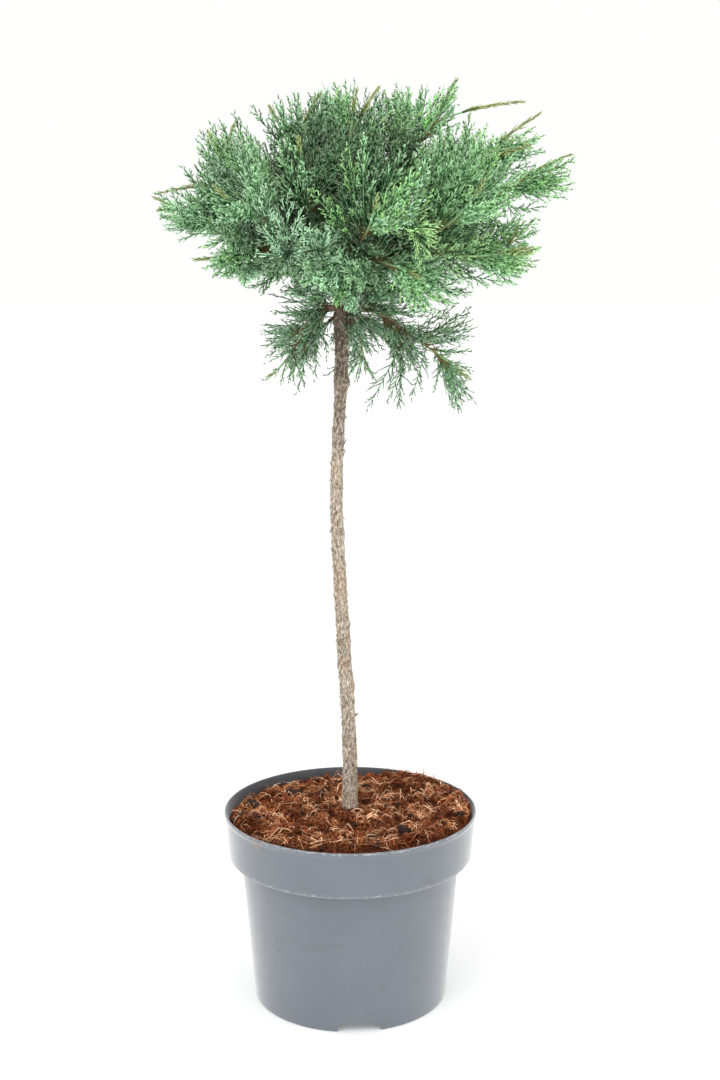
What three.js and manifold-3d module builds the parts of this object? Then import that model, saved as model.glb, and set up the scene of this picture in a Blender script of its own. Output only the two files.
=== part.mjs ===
// A juniper grafted on a clear trunk, in a round nursery pot, in millimetres with +Z up.
// The origin is the centre of the pot's flat underside. +X is the viewer's right and -Y faces the viewer.
import * as THREE from "three";
import { mergeVertices } from "three/addons/utils/BufferGeometryUtils.js";
import Module from "manifold-3d";

const wasm = await Module();
wasm.setup();

// Driving dimensions of the pot.
const POT_HEIGHT = 171;
const RIM_RADIUS = 111.7;
const LIP_HEIGHT = 2.5;
const LIP_OVERHANG = 0.8;
const BAND_HEIGHT = 41;
const BAND_FOOT_RADIUS = 107.6;
const NECK_RADIUS = 96.5;
const FOOT_RADIUS = 86;
const FOOT_ROUNDING = 3;
const WALL = 1.9;
const FLOOR_THICKNESS = 2;
const CENTRE_PAD_RADIUS = 52;
const CHANNEL_HEIGHT = 9.5;
const CHANNEL_INNER_RADIUS = 57;
const CHANNEL_OUTER_RADIUS = 72;
const FOOT_RING_SLOPE = 3;
const FOOT_GAPS = 3;
const FOOT_GAP_WIDTH = 39;
const FOOT_GAP_TOP_WIDTH = 29;
const FOOT_GAP_HEIGHT = 8;
const FOOT_GAP_TURN = -84.6;
const DRAIN_HOLES = 6;
const DRAIN_RADIUS = 4.5;
const DRAIN_SIDES = 10;
const POT_SIDES = 32;

// Driving dimensions of the potting mix that fills the pot, and the gap that pieces keep where they meet.
const MIX_EDGE_DROP = 11;
const MIX_MOUND = 6.5;
const MIX_LUMP = 3.9;
const FIT_GAP = 0.3;

// Driving dimensions of the trunk, as heights above the pot's underside.
const GROUND = POT_HEIGHT - MIX_EDGE_DROP + MIX_MOUND;
const TRUNK_SINK = 6;
const TRUNK_TOP = 668;
const TRUNK_BOW = 11.5;
const TRUNK_FOOT_RADIUS = 6.5;
const TRUNK_RADIUS = 5;
const TAPER_END = 520;
const ROOT_FLARE = 2.6;
const FLARE_HEIGHT = 9;
const GRAFT_HEIGHT = 603;
const GRAFT_SWELLING = 2.7;
const CROTCH_HEIGHT = 635;
const CROTCH_SWELLING = 1;
const KNOT_HEIGHT = 548;
const KNOT_SWELLING = 0.9;
const TRUNK_TIP_RADIUS = 2.8;
const TRUNK_SIDES = 9;
const TRUNK_ROWS = 18;

// Driving dimensions of the crown's outline: its highest tip, how it falls beyond a shoulder reach and to the
// left, the height of its underside, how that rises beyond its own shoulder, and the top of hanging sprays.
const CROWN_TOP = 793;
const CROWN_SHOULDER = 85;
const CROWN_FALL = 60;
const CROWN_TILT = 0.22;
const CROWN_UNDERSIDE = 604;
const UNDERSIDE_SHOULDER = 95;
const UNDERSIDE_RISE = 100;
const HANGING_TOP = 640;
const SIDE_OVERREACH = 4;

// Driving dimensions of the boughs, stems, twigs and sprays.
const BOUGH_FOOT_RADIUS = 3.2;
const BOUGH_TIP_RADIUS = 1.8;
const BOUGH_SIDES = 5;
const BOUGH_ROWS = 5;
const STEM_SIDES = 5;
const STEM_ROWS = 6;
const TIP_STEM_SHARE = 0.96;
const SIDE_STEM_SHARE = 0.62;
const TWIG_RADIUS = 1.25;
const TIP_RADIUS = 0.8;
const SHOOT_RADIUS = 2.7;
const TWIGS_TRIED = 300;
const SPRAYS_KEPT = 9;
const SPRAY_SIZES = [1, 0.86, 0.74, 0.64];
const SPRAY_SLIMNESS = 0.32;
const SPRAY_SPACING = 17;
const SPRAY_THICKNESS = 1.4;
const SPACE_MARGIN = 0.8;
const LIMB_MARGIN = 1.2;
const GOLDEN_TURN = 137.508;
const GOLDEN_SHARE = 0.618034;

// Each bough leaves the trunk at a height, turns to a compass bearing (0 is +X, 90 is +Y) and ends at a reach
// from the pot's axis and a height. Its arch is how far its middle stands above the straight line, and its
// girth is its thickness as a share of the thickest boughs'.
const BOUGHS = {
  left: { leaves: 622, bearing: 178, reach: 62, height: 668, arch: 4, girth: 1 },
  left_front: { leaves: 630, bearing: 226, reach: 52, height: 670, arch: 5, girth: 1 },
  front: { leaves: 618, bearing: 276, reach: 50, height: 662, arch: 7, girth: 1 },
  right_front: { leaves: 628, bearing: 320, reach: 58, height: 662, arch: 7, girth: 1 },
  right: { leaves: 620, bearing: 1, reach: 74, height: 668, arch: 3, girth: 1 },
  right_back: { leaves: 632, bearing: 46, reach: 56, height: 674, arch: 5, girth: 1 },
  back: { leaves: 622, bearing: 92, reach: 52, height: 668, arch: 6, girth: 1 },
  left_back: { leaves: 628, bearing: 138, reach: 54, height: 668, arch: 6, girth: 1 },
  top_left: { leaves: 652, bearing: 168, reach: 20, height: 700, arch: 0, girth: 1 },
  top_right: { leaves: 648, bearing: 12, reach: 30, height: 704, arch: 0, girth: 1 },
  low_left: { leaves: 606, bearing: 202, reach: 32, height: 604, arch: 6, girth: 0.65 },
  low_right: { leaves: 604, bearing: 334, reach: 44, height: 596, arch: 9, girth: 0.65 },
  low_back: { leaves: 608, bearing: 82, reach: 42, height: 606, arch: 7, girth: 0.65 },
};

// Each mass grows from its bough, at a share of the bough's length where 1 is the tip, to its furthest tip at
// a bearing, reach and height. Sag is how far its stem hangs below the straight line, spray the length of its
// longest sprays, and shoot the length of the plumper new shoot that ends its stem.
const MASSES = [
  { name: "left", bough: "left", at: 1, bearing: 181, reach: 162, height: 701, sag: 5, spray: 52, shoot: 42 },
  { name: "left_upper", bough: "left", at: 0.62, bearing: 166, reach: 124, height: 757,
    sag: 9, spray: 62, shoot: 24 },
  { name: "left_lower", bough: "left", at: 0.74, bearing: 202, reach: 134, height: 650,
    sag: 0, spray: 56, shoot: 20 },
  { name: "left_front", bough: "left_front", at: 1, bearing: 222, reach: 140, height: 706,
    sag: 6, spray: 60, shoot: 22 },
  { name: "front_left", bough: "left_front", at: 0.6, bearing: 250, reach: 112, height: 742,
    sag: 8, spray: 60, shoot: 18 },
  { name: "front", bough: "front", at: 1, bearing: 279, reach: 138, height: 696,
    sag: 8, spray: 62, shoot: 20 },
  { name: "front_lower", bough: "front", at: 0.6, bearing: 300, reach: 110, height: 636,
    sag: -4, spray: 54, shoot: 18 },
  { name: "right_front", bough: "right_front", at: 1, bearing: 313, reach: 152, height: 710,
    sag: 8, spray: 62, shoot: 22 },
  { name: "right_lower", bough: "right_front", at: 0.7, bearing: 339, reach: 156, height: 656,
    sag: 4, spray: 58, shoot: 22 },
  { name: "right", bough: "right", at: 1, bearing: 357, reach: 182, height: 735,
    sag: -6, spray: 52, shoot: 50 },
  { name: "right_upper", bough: "right", at: 0.6, bearing: 11, reach: 164, height: 771,
    sag: -13, spray: 56, shoot: 52 },
  { name: "right_back", bough: "right_back", at: 1, bearing: 42, reach: 150, height: 712,
    sag: 6, spray: 62, shoot: 24 },
  { name: "back", bough: "back", at: 1, bearing: 82, reach: 146, height: 712, sag: 8, spray: 62, shoot: 22 },
  { name: "back_left", bough: "left_back", at: 0.6, bearing: 118, reach: 132, height: 736,
    sag: 8, spray: 60, shoot: 18 },
  { name: "left_back", bough: "left_back", at: 1, bearing: 147, reach: 144, height: 690,
    sag: 6, spray: 60, shoot: 22 },
  { name: "top_left", bough: "top_left", at: 1, bearing: 178, reach: 66, height: 774,
    sag: 4, spray: 56, shoot: 18 },
  { name: "top_front", bough: "top_left", at: 0.6, bearing: 278, reach: 44, height: 784,
    sag: 6, spray: 56, shoot: 22 },
  { name: "top_right", bough: "top_right", at: 1, bearing: 350, reach: 88, height: 793,
    sag: 4, spray: 60, shoot: 26 },
  { name: "top_back", bough: "top_right", at: 0.6, bearing: 74, reach: 60, height: 780,
    sag: 6, spray: 58, shoot: 20 },
  { name: "low_left", bough: "low_left", at: 1, bearing: 207, reach: 74, height: 556,
    sag: 6, spray: 46, shoot: 20 },
  { name: "low_right", bough: "low_right", at: 1, bearing: 344, reach: 104, height: 552,
    sag: -2, spray: 56, shoot: 24 },
  { name: "low_back", bough: "low_back", at: 1, bearing: 80, reach: 82, height: 552,
    sag: 6, spray: 46, shoot: 20 },
];

// The height of the lowest spray of each mass that hangs below the crown.
const LOWEST = { low_left: 547, low_right: 523, low_back: 540 };

// A repeatable random number from 0 to 1: the same seed always gives the same plant.
function randomFrom(seed) {
  let state = seed * 7919 + 12345;
  return () => {
    state = (state * 1664525 + 1013904223) % 2 ** 32;
    return state / 2 ** 32;
  };
}

function radians(degrees) {
  return (degrees * Math.PI) / 180;
}

// The point at a compass bearing, a reach from the pot's axis and a height.
function around(bearing, reach, height) {
  return new THREE.Vector3(reach * Math.cos(radians(bearing)), reach * Math.sin(radians(bearing)), height);
}

// A smooth bump of height 1 at the middle, falling away over the width.
function bump(value, middle, width) {
  return Math.exp(-(((value - middle) / width) ** 2));
}

// A closed geometry as a solid that can be cut and joined.
function solidOf(geometry) {
  const bare = geometry.clone();
  bare.deleteAttribute("normal");
  bare.deleteAttribute("uv");
  const merged = mergeVertices(bare, 1e-3);
  return new wasm.Manifold(
    new wasm.Mesh({
      numProp: 3,
      vertProperties: merged.attributes.position.array,
      triVerts: new Uint32Array(merged.index.array),
    }),
  );
}

// A solid's own surface as a geometry.
function geometryOf(solid) {
  const mesh = solid.getMesh();
  const geometry = new THREE.BufferGeometry();
  geometry.setAttribute("position", new THREE.BufferAttribute(mesh.vertProperties, 3));
  geometry.setIndex(new THREE.BufferAttribute(mesh.triVerts, 1));
  geometry.computeVertexNormals();
  return geometry;
}

// The largest piece that is left of a solid when others are cut from it: loose scraps are dropped.
function cutClear(solid, others) {
  const left = others.reduce((a, b) => a.subtract(b), solid);
  return left.decompose().reduce((a, b) => (b.volume() > a.volume() ? b : a));
}

// A lathe profile of [radius, height] pairs, turned about the vertical axis.
function turned(profile) {
  const points = profile.map(([radius, height]) => new THREE.Vector2(radius, height));
  return new THREE.LatheGeometry(points, POT_SIDES).rotateX(Math.PI / 2);
}

// A tapering round limb with closed ends: a cylinder whose rings are laid along the curve.
function limb(curve, radiusAt, sides, rows) {
  const geometry = new THREE.CylinderGeometry(1, 1, 1, sides, rows);
  const place = geometry.attributes.position;
  const guide = new THREE.Vector3(0.31, 0.77, 0.12);
  for (let i = 0; i < place.count; i++) {
    const share = place.getY(i) + 0.5;
    const along = curve.getTangent(share);
    const side = new THREE.Vector3().crossVectors(along, guide).normalize();
    const other = new THREE.Vector3().crossVectors(side, along);
    const radius = radiusAt(share);
    const point = curve
      .getPoint(share)
      .addScaledVector(side, radius * place.getX(i))
      .addScaledVector(other, radius * place.getZ(i));
    place.setXYZ(i, point.x, point.y, point.z);
  }
  return geometry;
}

// The heights and radii inside the pot, from the rim down to the centre, set in by the wall and a clearance.
function potInside(inset) {
  const bandFoot = POT_HEIGHT - BAND_HEIGHT;
  const channelTop = CHANNEL_HEIGHT + FLOOR_THICKNESS;
  return [
    [RIM_RADIUS - WALL - inset, POT_HEIGHT],
    [BAND_FOOT_RADIUS - WALL - inset, bandFoot + 4],
    [NECK_RADIUS - WALL - inset, bandFoot],
    [FOOT_RADIUS - WALL - inset, channelTop + 1 + inset],
    [CHANNEL_INNER_RADIUS - FLOOR_THICKNESS - inset, channelTop + inset],
    [CENTRE_PAD_RADIUS - FLOOR_THICKNESS - inset, FLOOR_THICKNESS + inset],
    [0, FLOOR_THICKNESS + inset],
  ];
}

// A gap in the foot ring: a bar with slanted sides that runs outwards through the ring.
function footGap(turn) {
  const outline = new THREE.Shape([
    new THREE.Vector2(-FOOT_GAP_WIDTH / 2, -1),
    new THREE.Vector2(FOOT_GAP_WIDTH / 2, -1),
    new THREE.Vector2(FOOT_GAP_TOP_WIDTH / 2, FOOT_GAP_HEIGHT),
    new THREE.Vector2(-FOOT_GAP_TOP_WIDTH / 2, FOOT_GAP_HEIGHT),
  ]);
  const start = CHANNEL_OUTER_RADIUS - 6;
  const bar = new THREE.ExtrudeGeometry(outline, { depth: NECK_RADIUS - start, bevelEnabled: false });
  bar.rotateX(Math.PI / 2).rotateZ(Math.PI / 2);
  return solidOf(bar.translate(start, 0, 0).rotateZ(radians(turn)));
}

// A drain hole through the roof of the channel.
function drainHole(turn) {
  const middle = (CHANNEL_INNER_RADIUS + CHANNEL_OUTER_RADIUS) / 2;
  const hole = new THREE.CylinderGeometry(DRAIN_RADIUS, DRAIN_RADIUS, CHANNEL_HEIGHT, DRAIN_SIDES);
  return solidOf(hole.rotateX(Math.PI / 2).translate(middle, 0, CHANNEL_HEIGHT).rotateZ(radians(turn)));
}

// Pot: one moulded wall with a deep band under the rim, a foot ring with gaps and a drained channel.
function potSolid() {
  const bandFoot = POT_HEIGHT - BAND_HEIGHT;
  const outside = [
    [0, 0],
    [CENTRE_PAD_RADIUS, 0],
    [CHANNEL_INNER_RADIUS, CHANNEL_HEIGHT],
    [CHANNEL_OUTER_RADIUS, CHANNEL_HEIGHT],
    [CHANNEL_OUTER_RADIUS + FOOT_RING_SLOPE, 0],
    [FOOT_RADIUS - FOOT_ROUNDING, 0],
    [FOOT_RADIUS, FOOT_ROUNDING],
    [NECK_RADIUS, bandFoot - 4],
    [NECK_RADIUS + 3, bandFoot - 1],
    [BAND_FOOT_RADIUS - 2, bandFoot],
    [BAND_FOOT_RADIUS, bandFoot + 2],
    [RIM_RADIUS - LIP_OVERHANG, POT_HEIGHT - 2 * LIP_HEIGHT],
    [RIM_RADIUS, POT_HEIGHT - LIP_HEIGHT],
    [RIM_RADIUS - LIP_OVERHANG, POT_HEIGHT],
  ];
  let pot = solidOf(turned([...outside, ...potInside(0)]));
  for (let i = 0; i < FOOT_GAPS; i++) {
    pot = pot.subtract(footGap(FOOT_GAP_TURN + (360 / FOOT_GAPS) * i));
  }
  for (let i = 0; i < DRAIN_HOLES; i++) {
    pot = pot.subtract(drainHole((360 / DRAIN_HOLES) * (i + 0.5)));
  }
  return pot;
}

// The height of the loose potting mix at a point: a low mound with a few broad lumps between centre and edge.
function mixHeight(x, y) {
  const share = Math.min(1, Math.hypot(x, y) / RIM_RADIUS);
  const lumps = Math.sin(x / 9 + 1.3) * Math.cos(y / 11 - 0.4) + 0.6 * Math.sin((x + y) / 17 + 2);
  return GROUND - MIX_MOUND * share ** 2 + MIX_LUMP * lumps * share * (1 - share);
}

// Potting mix: fills the pot to a finger below the rim, with a socket for the trunk's foot.
function mixSolid(socket) {
  const [rim, ...inside] = potInside(2 * FIT_GAP);
  const top = POT_HEIGHT - MIX_EDGE_DROP;
  const edge = THREE.MathUtils.mapLinear(top, inside[0][1], rim[1], inside[0][0], rim[0]);
  const surface = [0, 0.36, 0.7, 1].map((share) => [edge * share, top]);
  const geometry = turned([...inside.reverse(), ...surface.reverse()]);
  const place = geometry.attributes.position;
  for (let i = 0; i < place.count; i++) {
    if (place.getZ(i) === Math.fround(top)) place.setZ(i, mixHeight(place.getX(i), place.getY(i)));
  }
  return solidOf(geometry).subtract(socket);
}

// The trunk's centre line: upright at its foot, with a gentle bow to the left that straightens higher up.
const trunkCurve = new THREE.CatmullRomCurve3(
  [
    [-0.5, 7, GROUND - TRUNK_SINK],
    [-0.8, 6, 232],
    [-0.52 * TRUNK_BOW, 4, 325],
    [-TRUNK_BOW, 2, 440],
    [-0.76 * TRUNK_BOW, 1, 522],
    [-0.52 * TRUNK_BOW, 0, 590],
    [-0.43 * TRUNK_BOW, 0, 630],
    [-0.3 * TRUNK_BOW, 0, TRUNK_TOP],
  ].map(([x, y, z]) => new THREE.Vector3(x, y, z)),
  false,
  "catmullrom",
);

// The trunk's radius at a height: root flare, slow taper, a knot, and the swellings of graft and crotch.
function trunkRadius(height) {
  const down = THREE.MathUtils.clamp((TAPER_END - height) / (TAPER_END - GROUND), 0, 1);
  const taper = THREE.MathUtils.lerp(TRUNK_RADIUS, TRUNK_FOOT_RADIUS, down);
  const flare = ROOT_FLARE * Math.exp(-(height - GROUND + TRUNK_SINK) / FLARE_HEIGHT);
  const graft = GRAFT_SWELLING * bump(height, GRAFT_HEIGHT, 26);
  const crotch = CROTCH_SWELLING * bump(height, CROTCH_HEIGHT, 24);
  const knot = KNOT_SWELLING * bump(height, KNOT_HEIGHT, 9);
  const thinning = THREE.MathUtils.smoothstep(height, CROTCH_HEIGHT, TRUNK_TOP);
  return taper + flare + graft + crotch + knot - (TRUNK_RADIUS - TRUNK_TIP_RADIUS) * thinning;
}

// The trunk, grown on all sides and let down by a clearance.
function trunkSolid(clearance) {
  const radiusAt = (t) => trunkRadius(trunkCurve.getPoint(t).z) + clearance;
  const geometry = limb(trunkCurve, radiusAt, TRUNK_SIDES, TRUNK_ROWS);
  const place = geometry.attributes.position;
  for (let i = 0; i < place.count; i++) {
    if (place.getZ(i) < GROUND - TRUNK_SINK + 1) place.setZ(i, GROUND - TRUNK_SINK - clearance);
  }
  return solidOf(geometry);
}

// The trunk's centre at a height.
function trunkCentre(height) {
  const isNearer = (a, b) => Math.abs(a.z - height) < Math.abs(b.z - height);
  return trunkCurve.getPoints(400).reduce((a, b) => (isNearer(b, a) ? b : a));
}

// A limb's curve from one point to another, pulled aside from the straight line at its middle.
function bentCurve(from, to, pull) {
  const control = from.clone().lerp(to, 0.5).addScaledVector(pull, 2);
  return new THREE.QuadraticBezierCurve3(from, control, to);
}

// A bough: its curve, and its radius at each share of its length.
function boughLimb({ leaves, bearing, reach, height, arch, girth }) {
  const curve = bentCurve(trunkCentre(leaves), around(bearing, reach, height), new THREE.Vector3(0, 0, arch));
  const radiusAt = (t) => girth * THREE.MathUtils.lerp(BOUGH_FOOT_RADIUS, BOUGH_TIP_RADIUS, t);
  return { curve, radiusAt };
}

// A mass's stem: it leaves its bough's tip in line with it, or the bough's side, and bends to the mass's tip.
// It is woody up to the share of its length where the plumper new shoot begins.
function massStem({ at, bearing, reach, height, sag, shoot }, bough) {
  const onward = bough.curve.getTangent(at);
  const fromTip = at === 1;
  const from = bough.curve.getPoint(at).addScaledVector(onward, fromTip ? FIT_GAP : 0);
  const to = around(bearing, reach, height);
  const pull = onward.multiplyScalar(fromTip ? from.distanceTo(to) * 0.06 : 0);
  pull.z -= sag;
  const woody = 1 - shoot / from.distanceTo(to);
  const foot = bough.radiusAt(at) * (fromTip ? TIP_STEM_SHARE : SIDE_STEM_SHARE);
  const wood = (t) => THREE.MathUtils.lerp(foot, Math.min(foot, TWIG_RADIUS), t / woody);
  const green = (t) => THREE.MathUtils.lerp(SHOOT_RADIUS, TIP_RADIUS, (t - woody) / (1 - woody));
  return { curve: bentCurve(from, to, pull), woody, radiusAt: (t) => (t < woody ? wood(t) : green(t)) };
}

// A mass's bare stem, grown on all sides by a clearance.
function stemSolid({ curve, radiusAt }, clearance) {
  return solidOf(limb(curve, (t) => radiusAt(t) + clearance, STEM_SIDES, STEM_ROWS));
}

// The shortest distance from a point to a line of points.
function distanceTo(point, line) {
  const closest = new THREE.Vector3();
  const piece = new THREE.Line3();
  let least = Infinity;
  for (let i = 1; i < line.length; i++) {
    piece.set(line[i - 1], line[i]);
    piece.closestPointToPoint(point, true, closest);
    least = Math.min(least, closest.distanceTo(point));
  }
  return least;
}

// Whether a point lies in the space of one mass: nearer its stem than any other's, and clear of every limb.
function inSpace(point, own, spaces, limbs) {
  const near = distanceTo(point, spaces[own]) + SPACE_MARGIN;
  if (spaces.some((line, i) => i !== own && distanceTo(point, line) < near)) return false;
  return limbs.every(({ line, radius }) => distanceTo(point, line) > radius + LIMB_MARGIN);
}

// Whether a point lies inside the crown's outline: under its domed top and above its underside, which rises
// outwards, or for a hanging mass between its own two heights.
function inCrown({ x, y, z }, lowest, furthest) {
  const reach = Math.hypot(x, y);
  if (reach > furthest + SIDE_OVERREACH) return false;
  if (lowest) return z > lowest && z < HANGING_TOP;
  const beyond = (shoulder) => (Math.max(0, reach - shoulder) / 100) ** 2;
  const tilt = CROWN_TILT * Math.max(0, -x);
  const top = CROWN_TOP - CROWN_FALL * beyond(CROWN_SHOULDER) - tilt;
  const underside = CROWN_UNDERSIDE + UNDERSIDE_RISE * beyond(UNDERSIDE_SHOULDER) + tilt;
  return z > underside && z < top;
}

// Half of a spray's outline as shares of its length and half width: two teeth that lean towards the tip.
const SPRAY_TEETH = [
  [0.3, 0.9],
  [0.36, 0.36],
  [0.66, 0.82],
];

// The outline of a twig and the toothed spray of scaly shoots that ends it, rooted at the origin along X.
function sprayOutline(twig, length) {
  const width = length * SPRAY_SLIMNESS;
  const upper = SPRAY_TEETH.map(([x, y]) => [twig + length * x, width * y]);
  const lower = SPRAY_TEETH.map(([x, y]) => [twig + length * (x - 0.07), -width * y]);
  const right = [[0, -TIP_RADIUS], [twig, -TIP_RADIUS], ...lower];
  const left = [[0, TIP_RADIUS], [twig, TIP_RADIUS], ...upper].reverse();
  return [...right, [twig + length, 0], ...left].map(([x, y]) => new THREE.Vector2(x, y));
}

// A spray as a thin flat piece in its frame: the frame runs along it, across it and out of its face.
function spraySolid({ outline, frame }) {
  const shape = new THREE.Shape(outline);
  const blade = new THREE.ExtrudeGeometry(shape, { depth: SPRAY_THICKNESS, bevelEnabled: false });
  return solidOf(blade.translate(0, 0, -SPRAY_THICKNESS / 2).applyMatrix4(frame));
}

// The frame of a spray with its root at a point, its length along a direction and its face near another.
function sprayFrame(root, along, face) {
  const across = new THREE.Vector3().crossVectors(face, along).normalize();
  const out = new THREE.Vector3().crossVectors(along, across);
  return new THREE.Matrix4().makeBasis(along, across, out).setPosition(root);
}

// A direction leaned away from itself by an angle, to a side that is given as a turn round it.
function leaned(direction, angle, turn) {
  const helper = Math.abs(direction.z) > 0.9 ? new THREE.Vector3(1, 0, 0) : new THREE.Vector3(0, 0, 1);
  const side = new THREE.Vector3().crossVectors(direction, helper).normalize();
  side.applyAxisAngle(direction, radians(turn));
  const forward = direction.clone().multiplyScalar(Math.cos(radians(angle)));
  return forward.addScaledVector(side, Math.sin(radians(angle)));
}

// The twigs that one mass tries, by the seeded rule: they spiral round its stem, leaning out more near its
// foot and always a little upwards, and each ends in a spray that faces sideways.
function twigsTried(index, longest, { curve, woody }) {
  const random = randomFrom(index + 1);
  return Array.from({ length: TWIGS_TRIED }, (_, k) => {
    const share = woody * (0.04 + 0.94 * ((k * GOLDEN_SHARE) % 1));
    const lean = THREE.MathUtils.lerp(58, 24, share) + 20 * (random() - 0.5);
    const way = leaned(curve.getTangent(share), lean, GOLDEN_TURN * k + 60 * random());
    way.z += 0.12;
    const twig = longest * THREE.MathUtils.lerp(0.4, 0.14, share) * (0.8 + 0.4 * random());
    const length = longest * (0.85 + 0.15 * random());
    const face = new THREE.Vector3(random() - 0.5, random() - 0.5, 0.7 * (random() - 0.5));
    return { from: curve.getPoint(share), way: way.normalize(), twig, length, face };
  });
}

// The sprays of one mass: of the twigs tried, those that fit its space at one of the sizes and stand clear of
// the sprays before them, until there are enough.
function spraysKept(mass, index, stem, spaces, limbs) {
  const sprays = [];
  const lowest = LOWEST[mass.name];
  const fits = (point) => inCrown(point, lowest, mass.reach) && inSpace(point, index, spaces, limbs);
  for (const { from, way, twig, length, face } of twigsTried(index, mass.spray, stem)) {
    if (sprays.length === SPRAYS_KEPT) break;
    const frame = sprayFrame(from, way, face);
    for (const size of SPRAY_SIZES) {
      const outline = sprayOutline(twig * size, length * size);
      const corners = outline.slice(2, -2).map(({ x, y }) => new THREE.Vector3(x, y, 0).applyMatrix4(frame));
      const middle = from.clone().addScaledVector(way, (twig + length / 2) * size);
      const clear = sprays.every((other) => other.middle.distanceTo(middle) > SPRAY_SPACING);
      if (clear && corners.every(fits)) {
        sprays.push({ frame, outline, middle });
        break;
      }
    }
  }
  return sprays;
}

// Finishes, from the photograph.
const plastic = new THREE.MeshStandardMaterial({ color: 0x7d8288, roughness: 0.5, metalness: 0 });
const coir = new THREE.MeshStandardMaterial({ color: 0x6b3a22, roughness: 0.95, metalness: 0 });
const bark = new THREE.MeshStandardMaterial({ color: 0x8d7c6c, roughness: 0.9, metalness: 0 });
const youngBark = new THREE.MeshStandardMaterial({ color: 0x6f4a35, roughness: 0.85, metalness: 0 });
const foliage = new THREE.MeshStandardMaterial({ color: 0x5f8a72, roughness: 0.7, metalness: 0 });

const plant = new THREE.Group();

function addPiece(name, solid, material) {
  const mesh = new THREE.Mesh(geometryOf(solid), material);
  mesh.name = name;
  plant.add(mesh);
}

addPiece("pot", potSolid(), plastic);
addPiece("potting_mix", mixSolid(trunkSolid(FIT_GAP)), coir);
addPiece("trunk", trunkSolid(0), bark);

// Boughs, each cut clear of the trunk and of those before it.
const boughs = {};
const keepOut = [trunkSolid(FIT_GAP)];
for (const [name, values] of Object.entries(BOUGHS)) {
  const { curve, radiusAt } = boughLimb(values);
  const bough = solidOf(limb(curve, radiusAt, BOUGH_SIDES, BOUGH_ROWS));
  addPiece("bough_" + name, cutClear(bough, keepOut), youngBark);
  keepOut.push(solidOf(limb(curve, (t) => radiusAt(t) + FIT_GAP, BOUGH_SIDES, BOUGH_ROWS)));
  boughs[name] = { curve, radiusAt };
}

// Masses of foliage, each in its own space, fused to its stem and cut clear of every limb and of the stems of
// the masses before it.
const stems = MASSES.map((mass) => massStem(mass, boughs[mass.bough]));
const spaces = stems.map(({ curve }) => curve.getPoints(8));
const limbs = [
  { line: trunkCurve.getPoints(40), radius: trunkRadius(GRAFT_HEIGHT) },
  ...Object.values(boughs).map(({ curve }) => ({ line: curve.getPoints(8), radius: BOUGH_FOOT_RADIUS })),
];
MASSES.forEach((mass, index) => {
  const sprays = spraysKept(mass, index, stems[index], spaces, limbs);
  const fused = sprays.map(spraySolid).reduce((a, b) => a.add(b), stemSolid(stems[index], 0));
  addPiece("foliage_" + mass.name, cutClear(fused, keepOut), foliage);
  keepOut.push(stemSolid(stems[index], FIT_GAP));
});

export default plant;
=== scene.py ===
"""The looks of a potted juniper on a clear trunk: pot, potting mix, bark, twigs and feathery sprays.

Tables and growth are in millimetres, as in the part's source, and surface() scales them to metres. The
origin is the centre of the pot's flat underside, +X is the viewer's right and -Y faces the viewer.
"""
import math

import bpy
import numpy as np
from bpy.props import FloatProperty, FloatVectorProperty, IntProperty, PointerProperty
from bpy.types import Operator, Panel, PropertyGroup
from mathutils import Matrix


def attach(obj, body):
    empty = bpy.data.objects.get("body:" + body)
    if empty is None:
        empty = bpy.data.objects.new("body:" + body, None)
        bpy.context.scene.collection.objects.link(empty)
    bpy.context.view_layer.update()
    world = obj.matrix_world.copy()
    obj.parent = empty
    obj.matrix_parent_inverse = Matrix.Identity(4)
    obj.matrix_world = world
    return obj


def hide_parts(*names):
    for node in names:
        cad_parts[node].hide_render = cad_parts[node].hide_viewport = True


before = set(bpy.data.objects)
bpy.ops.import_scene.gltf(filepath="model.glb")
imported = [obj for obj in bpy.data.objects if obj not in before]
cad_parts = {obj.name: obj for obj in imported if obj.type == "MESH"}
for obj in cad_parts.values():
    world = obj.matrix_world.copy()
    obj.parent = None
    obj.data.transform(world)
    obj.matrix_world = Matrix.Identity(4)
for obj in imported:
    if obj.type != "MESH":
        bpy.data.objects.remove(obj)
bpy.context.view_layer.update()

bl_info = {
    "name": "Potted juniper",
    "version": (1, 0, 0),
    "blender": (4, 5, 0),
    "location": "View3D > Sidebar > Juniper",
    "description": "Builds a potted juniper on a clear trunk, piece by piece",
    "category": "Object",
}

MM = 0.001
LONGEST_STEP = 4.0

# The pot, in millimetres
POT_HEIGHT = 171.0
RIM_RADIUS = 111.7
LIP_HEIGHT = 2.5
LIP_OVERHANG = 0.8
LIP_LEAN = 0.5
LIP_EASE = 0.3
BAND_HEIGHT = 41.0
BAND_FOOT = POT_HEIGHT - BAND_HEIGHT
BAND_FOOT_RADIUS = 107.6
NECK_RADIUS = 96.5
NECK_DEPTH = 4.0
NECK_STEP = (2.2, 0.6)
FOOT_RADIUS = 86.0
WALL = 1.9
FLOOR_THICKNESS = 2.0
CENTRE_PAD_RADIUS = 52.0
CHANNEL_HEIGHT = 9.5
CHANNEL_INNER_RADIUS = 57.0
CHANNEL_OUTER_RADIUS = 72.0
FOOT_RING_SLOPE = 3.0
FOOT_GAPS = 3
FOOT_GAP_WIDTH = 38.0
FOOT_GAP_TOP_WIDTH = 29.0
FOOT_GAP_HEIGHT = 8.0
FOOT_GAP_TURN = -84.6
FOOT_GAP_REACH = 22.0
POT_COLUMNS = 480
DRAIN_HOLES = 6
DRAIN_RADIUS = 4.5
DRAIN_REACH = (CHANNEL_INNER_RADIUS + CHANNEL_OUTER_RADIUS) / 2
DRAIN_COLUMNS = 5
DRAIN_SPAN = 1.3
DRAIN_BLEND = 1.6
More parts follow.
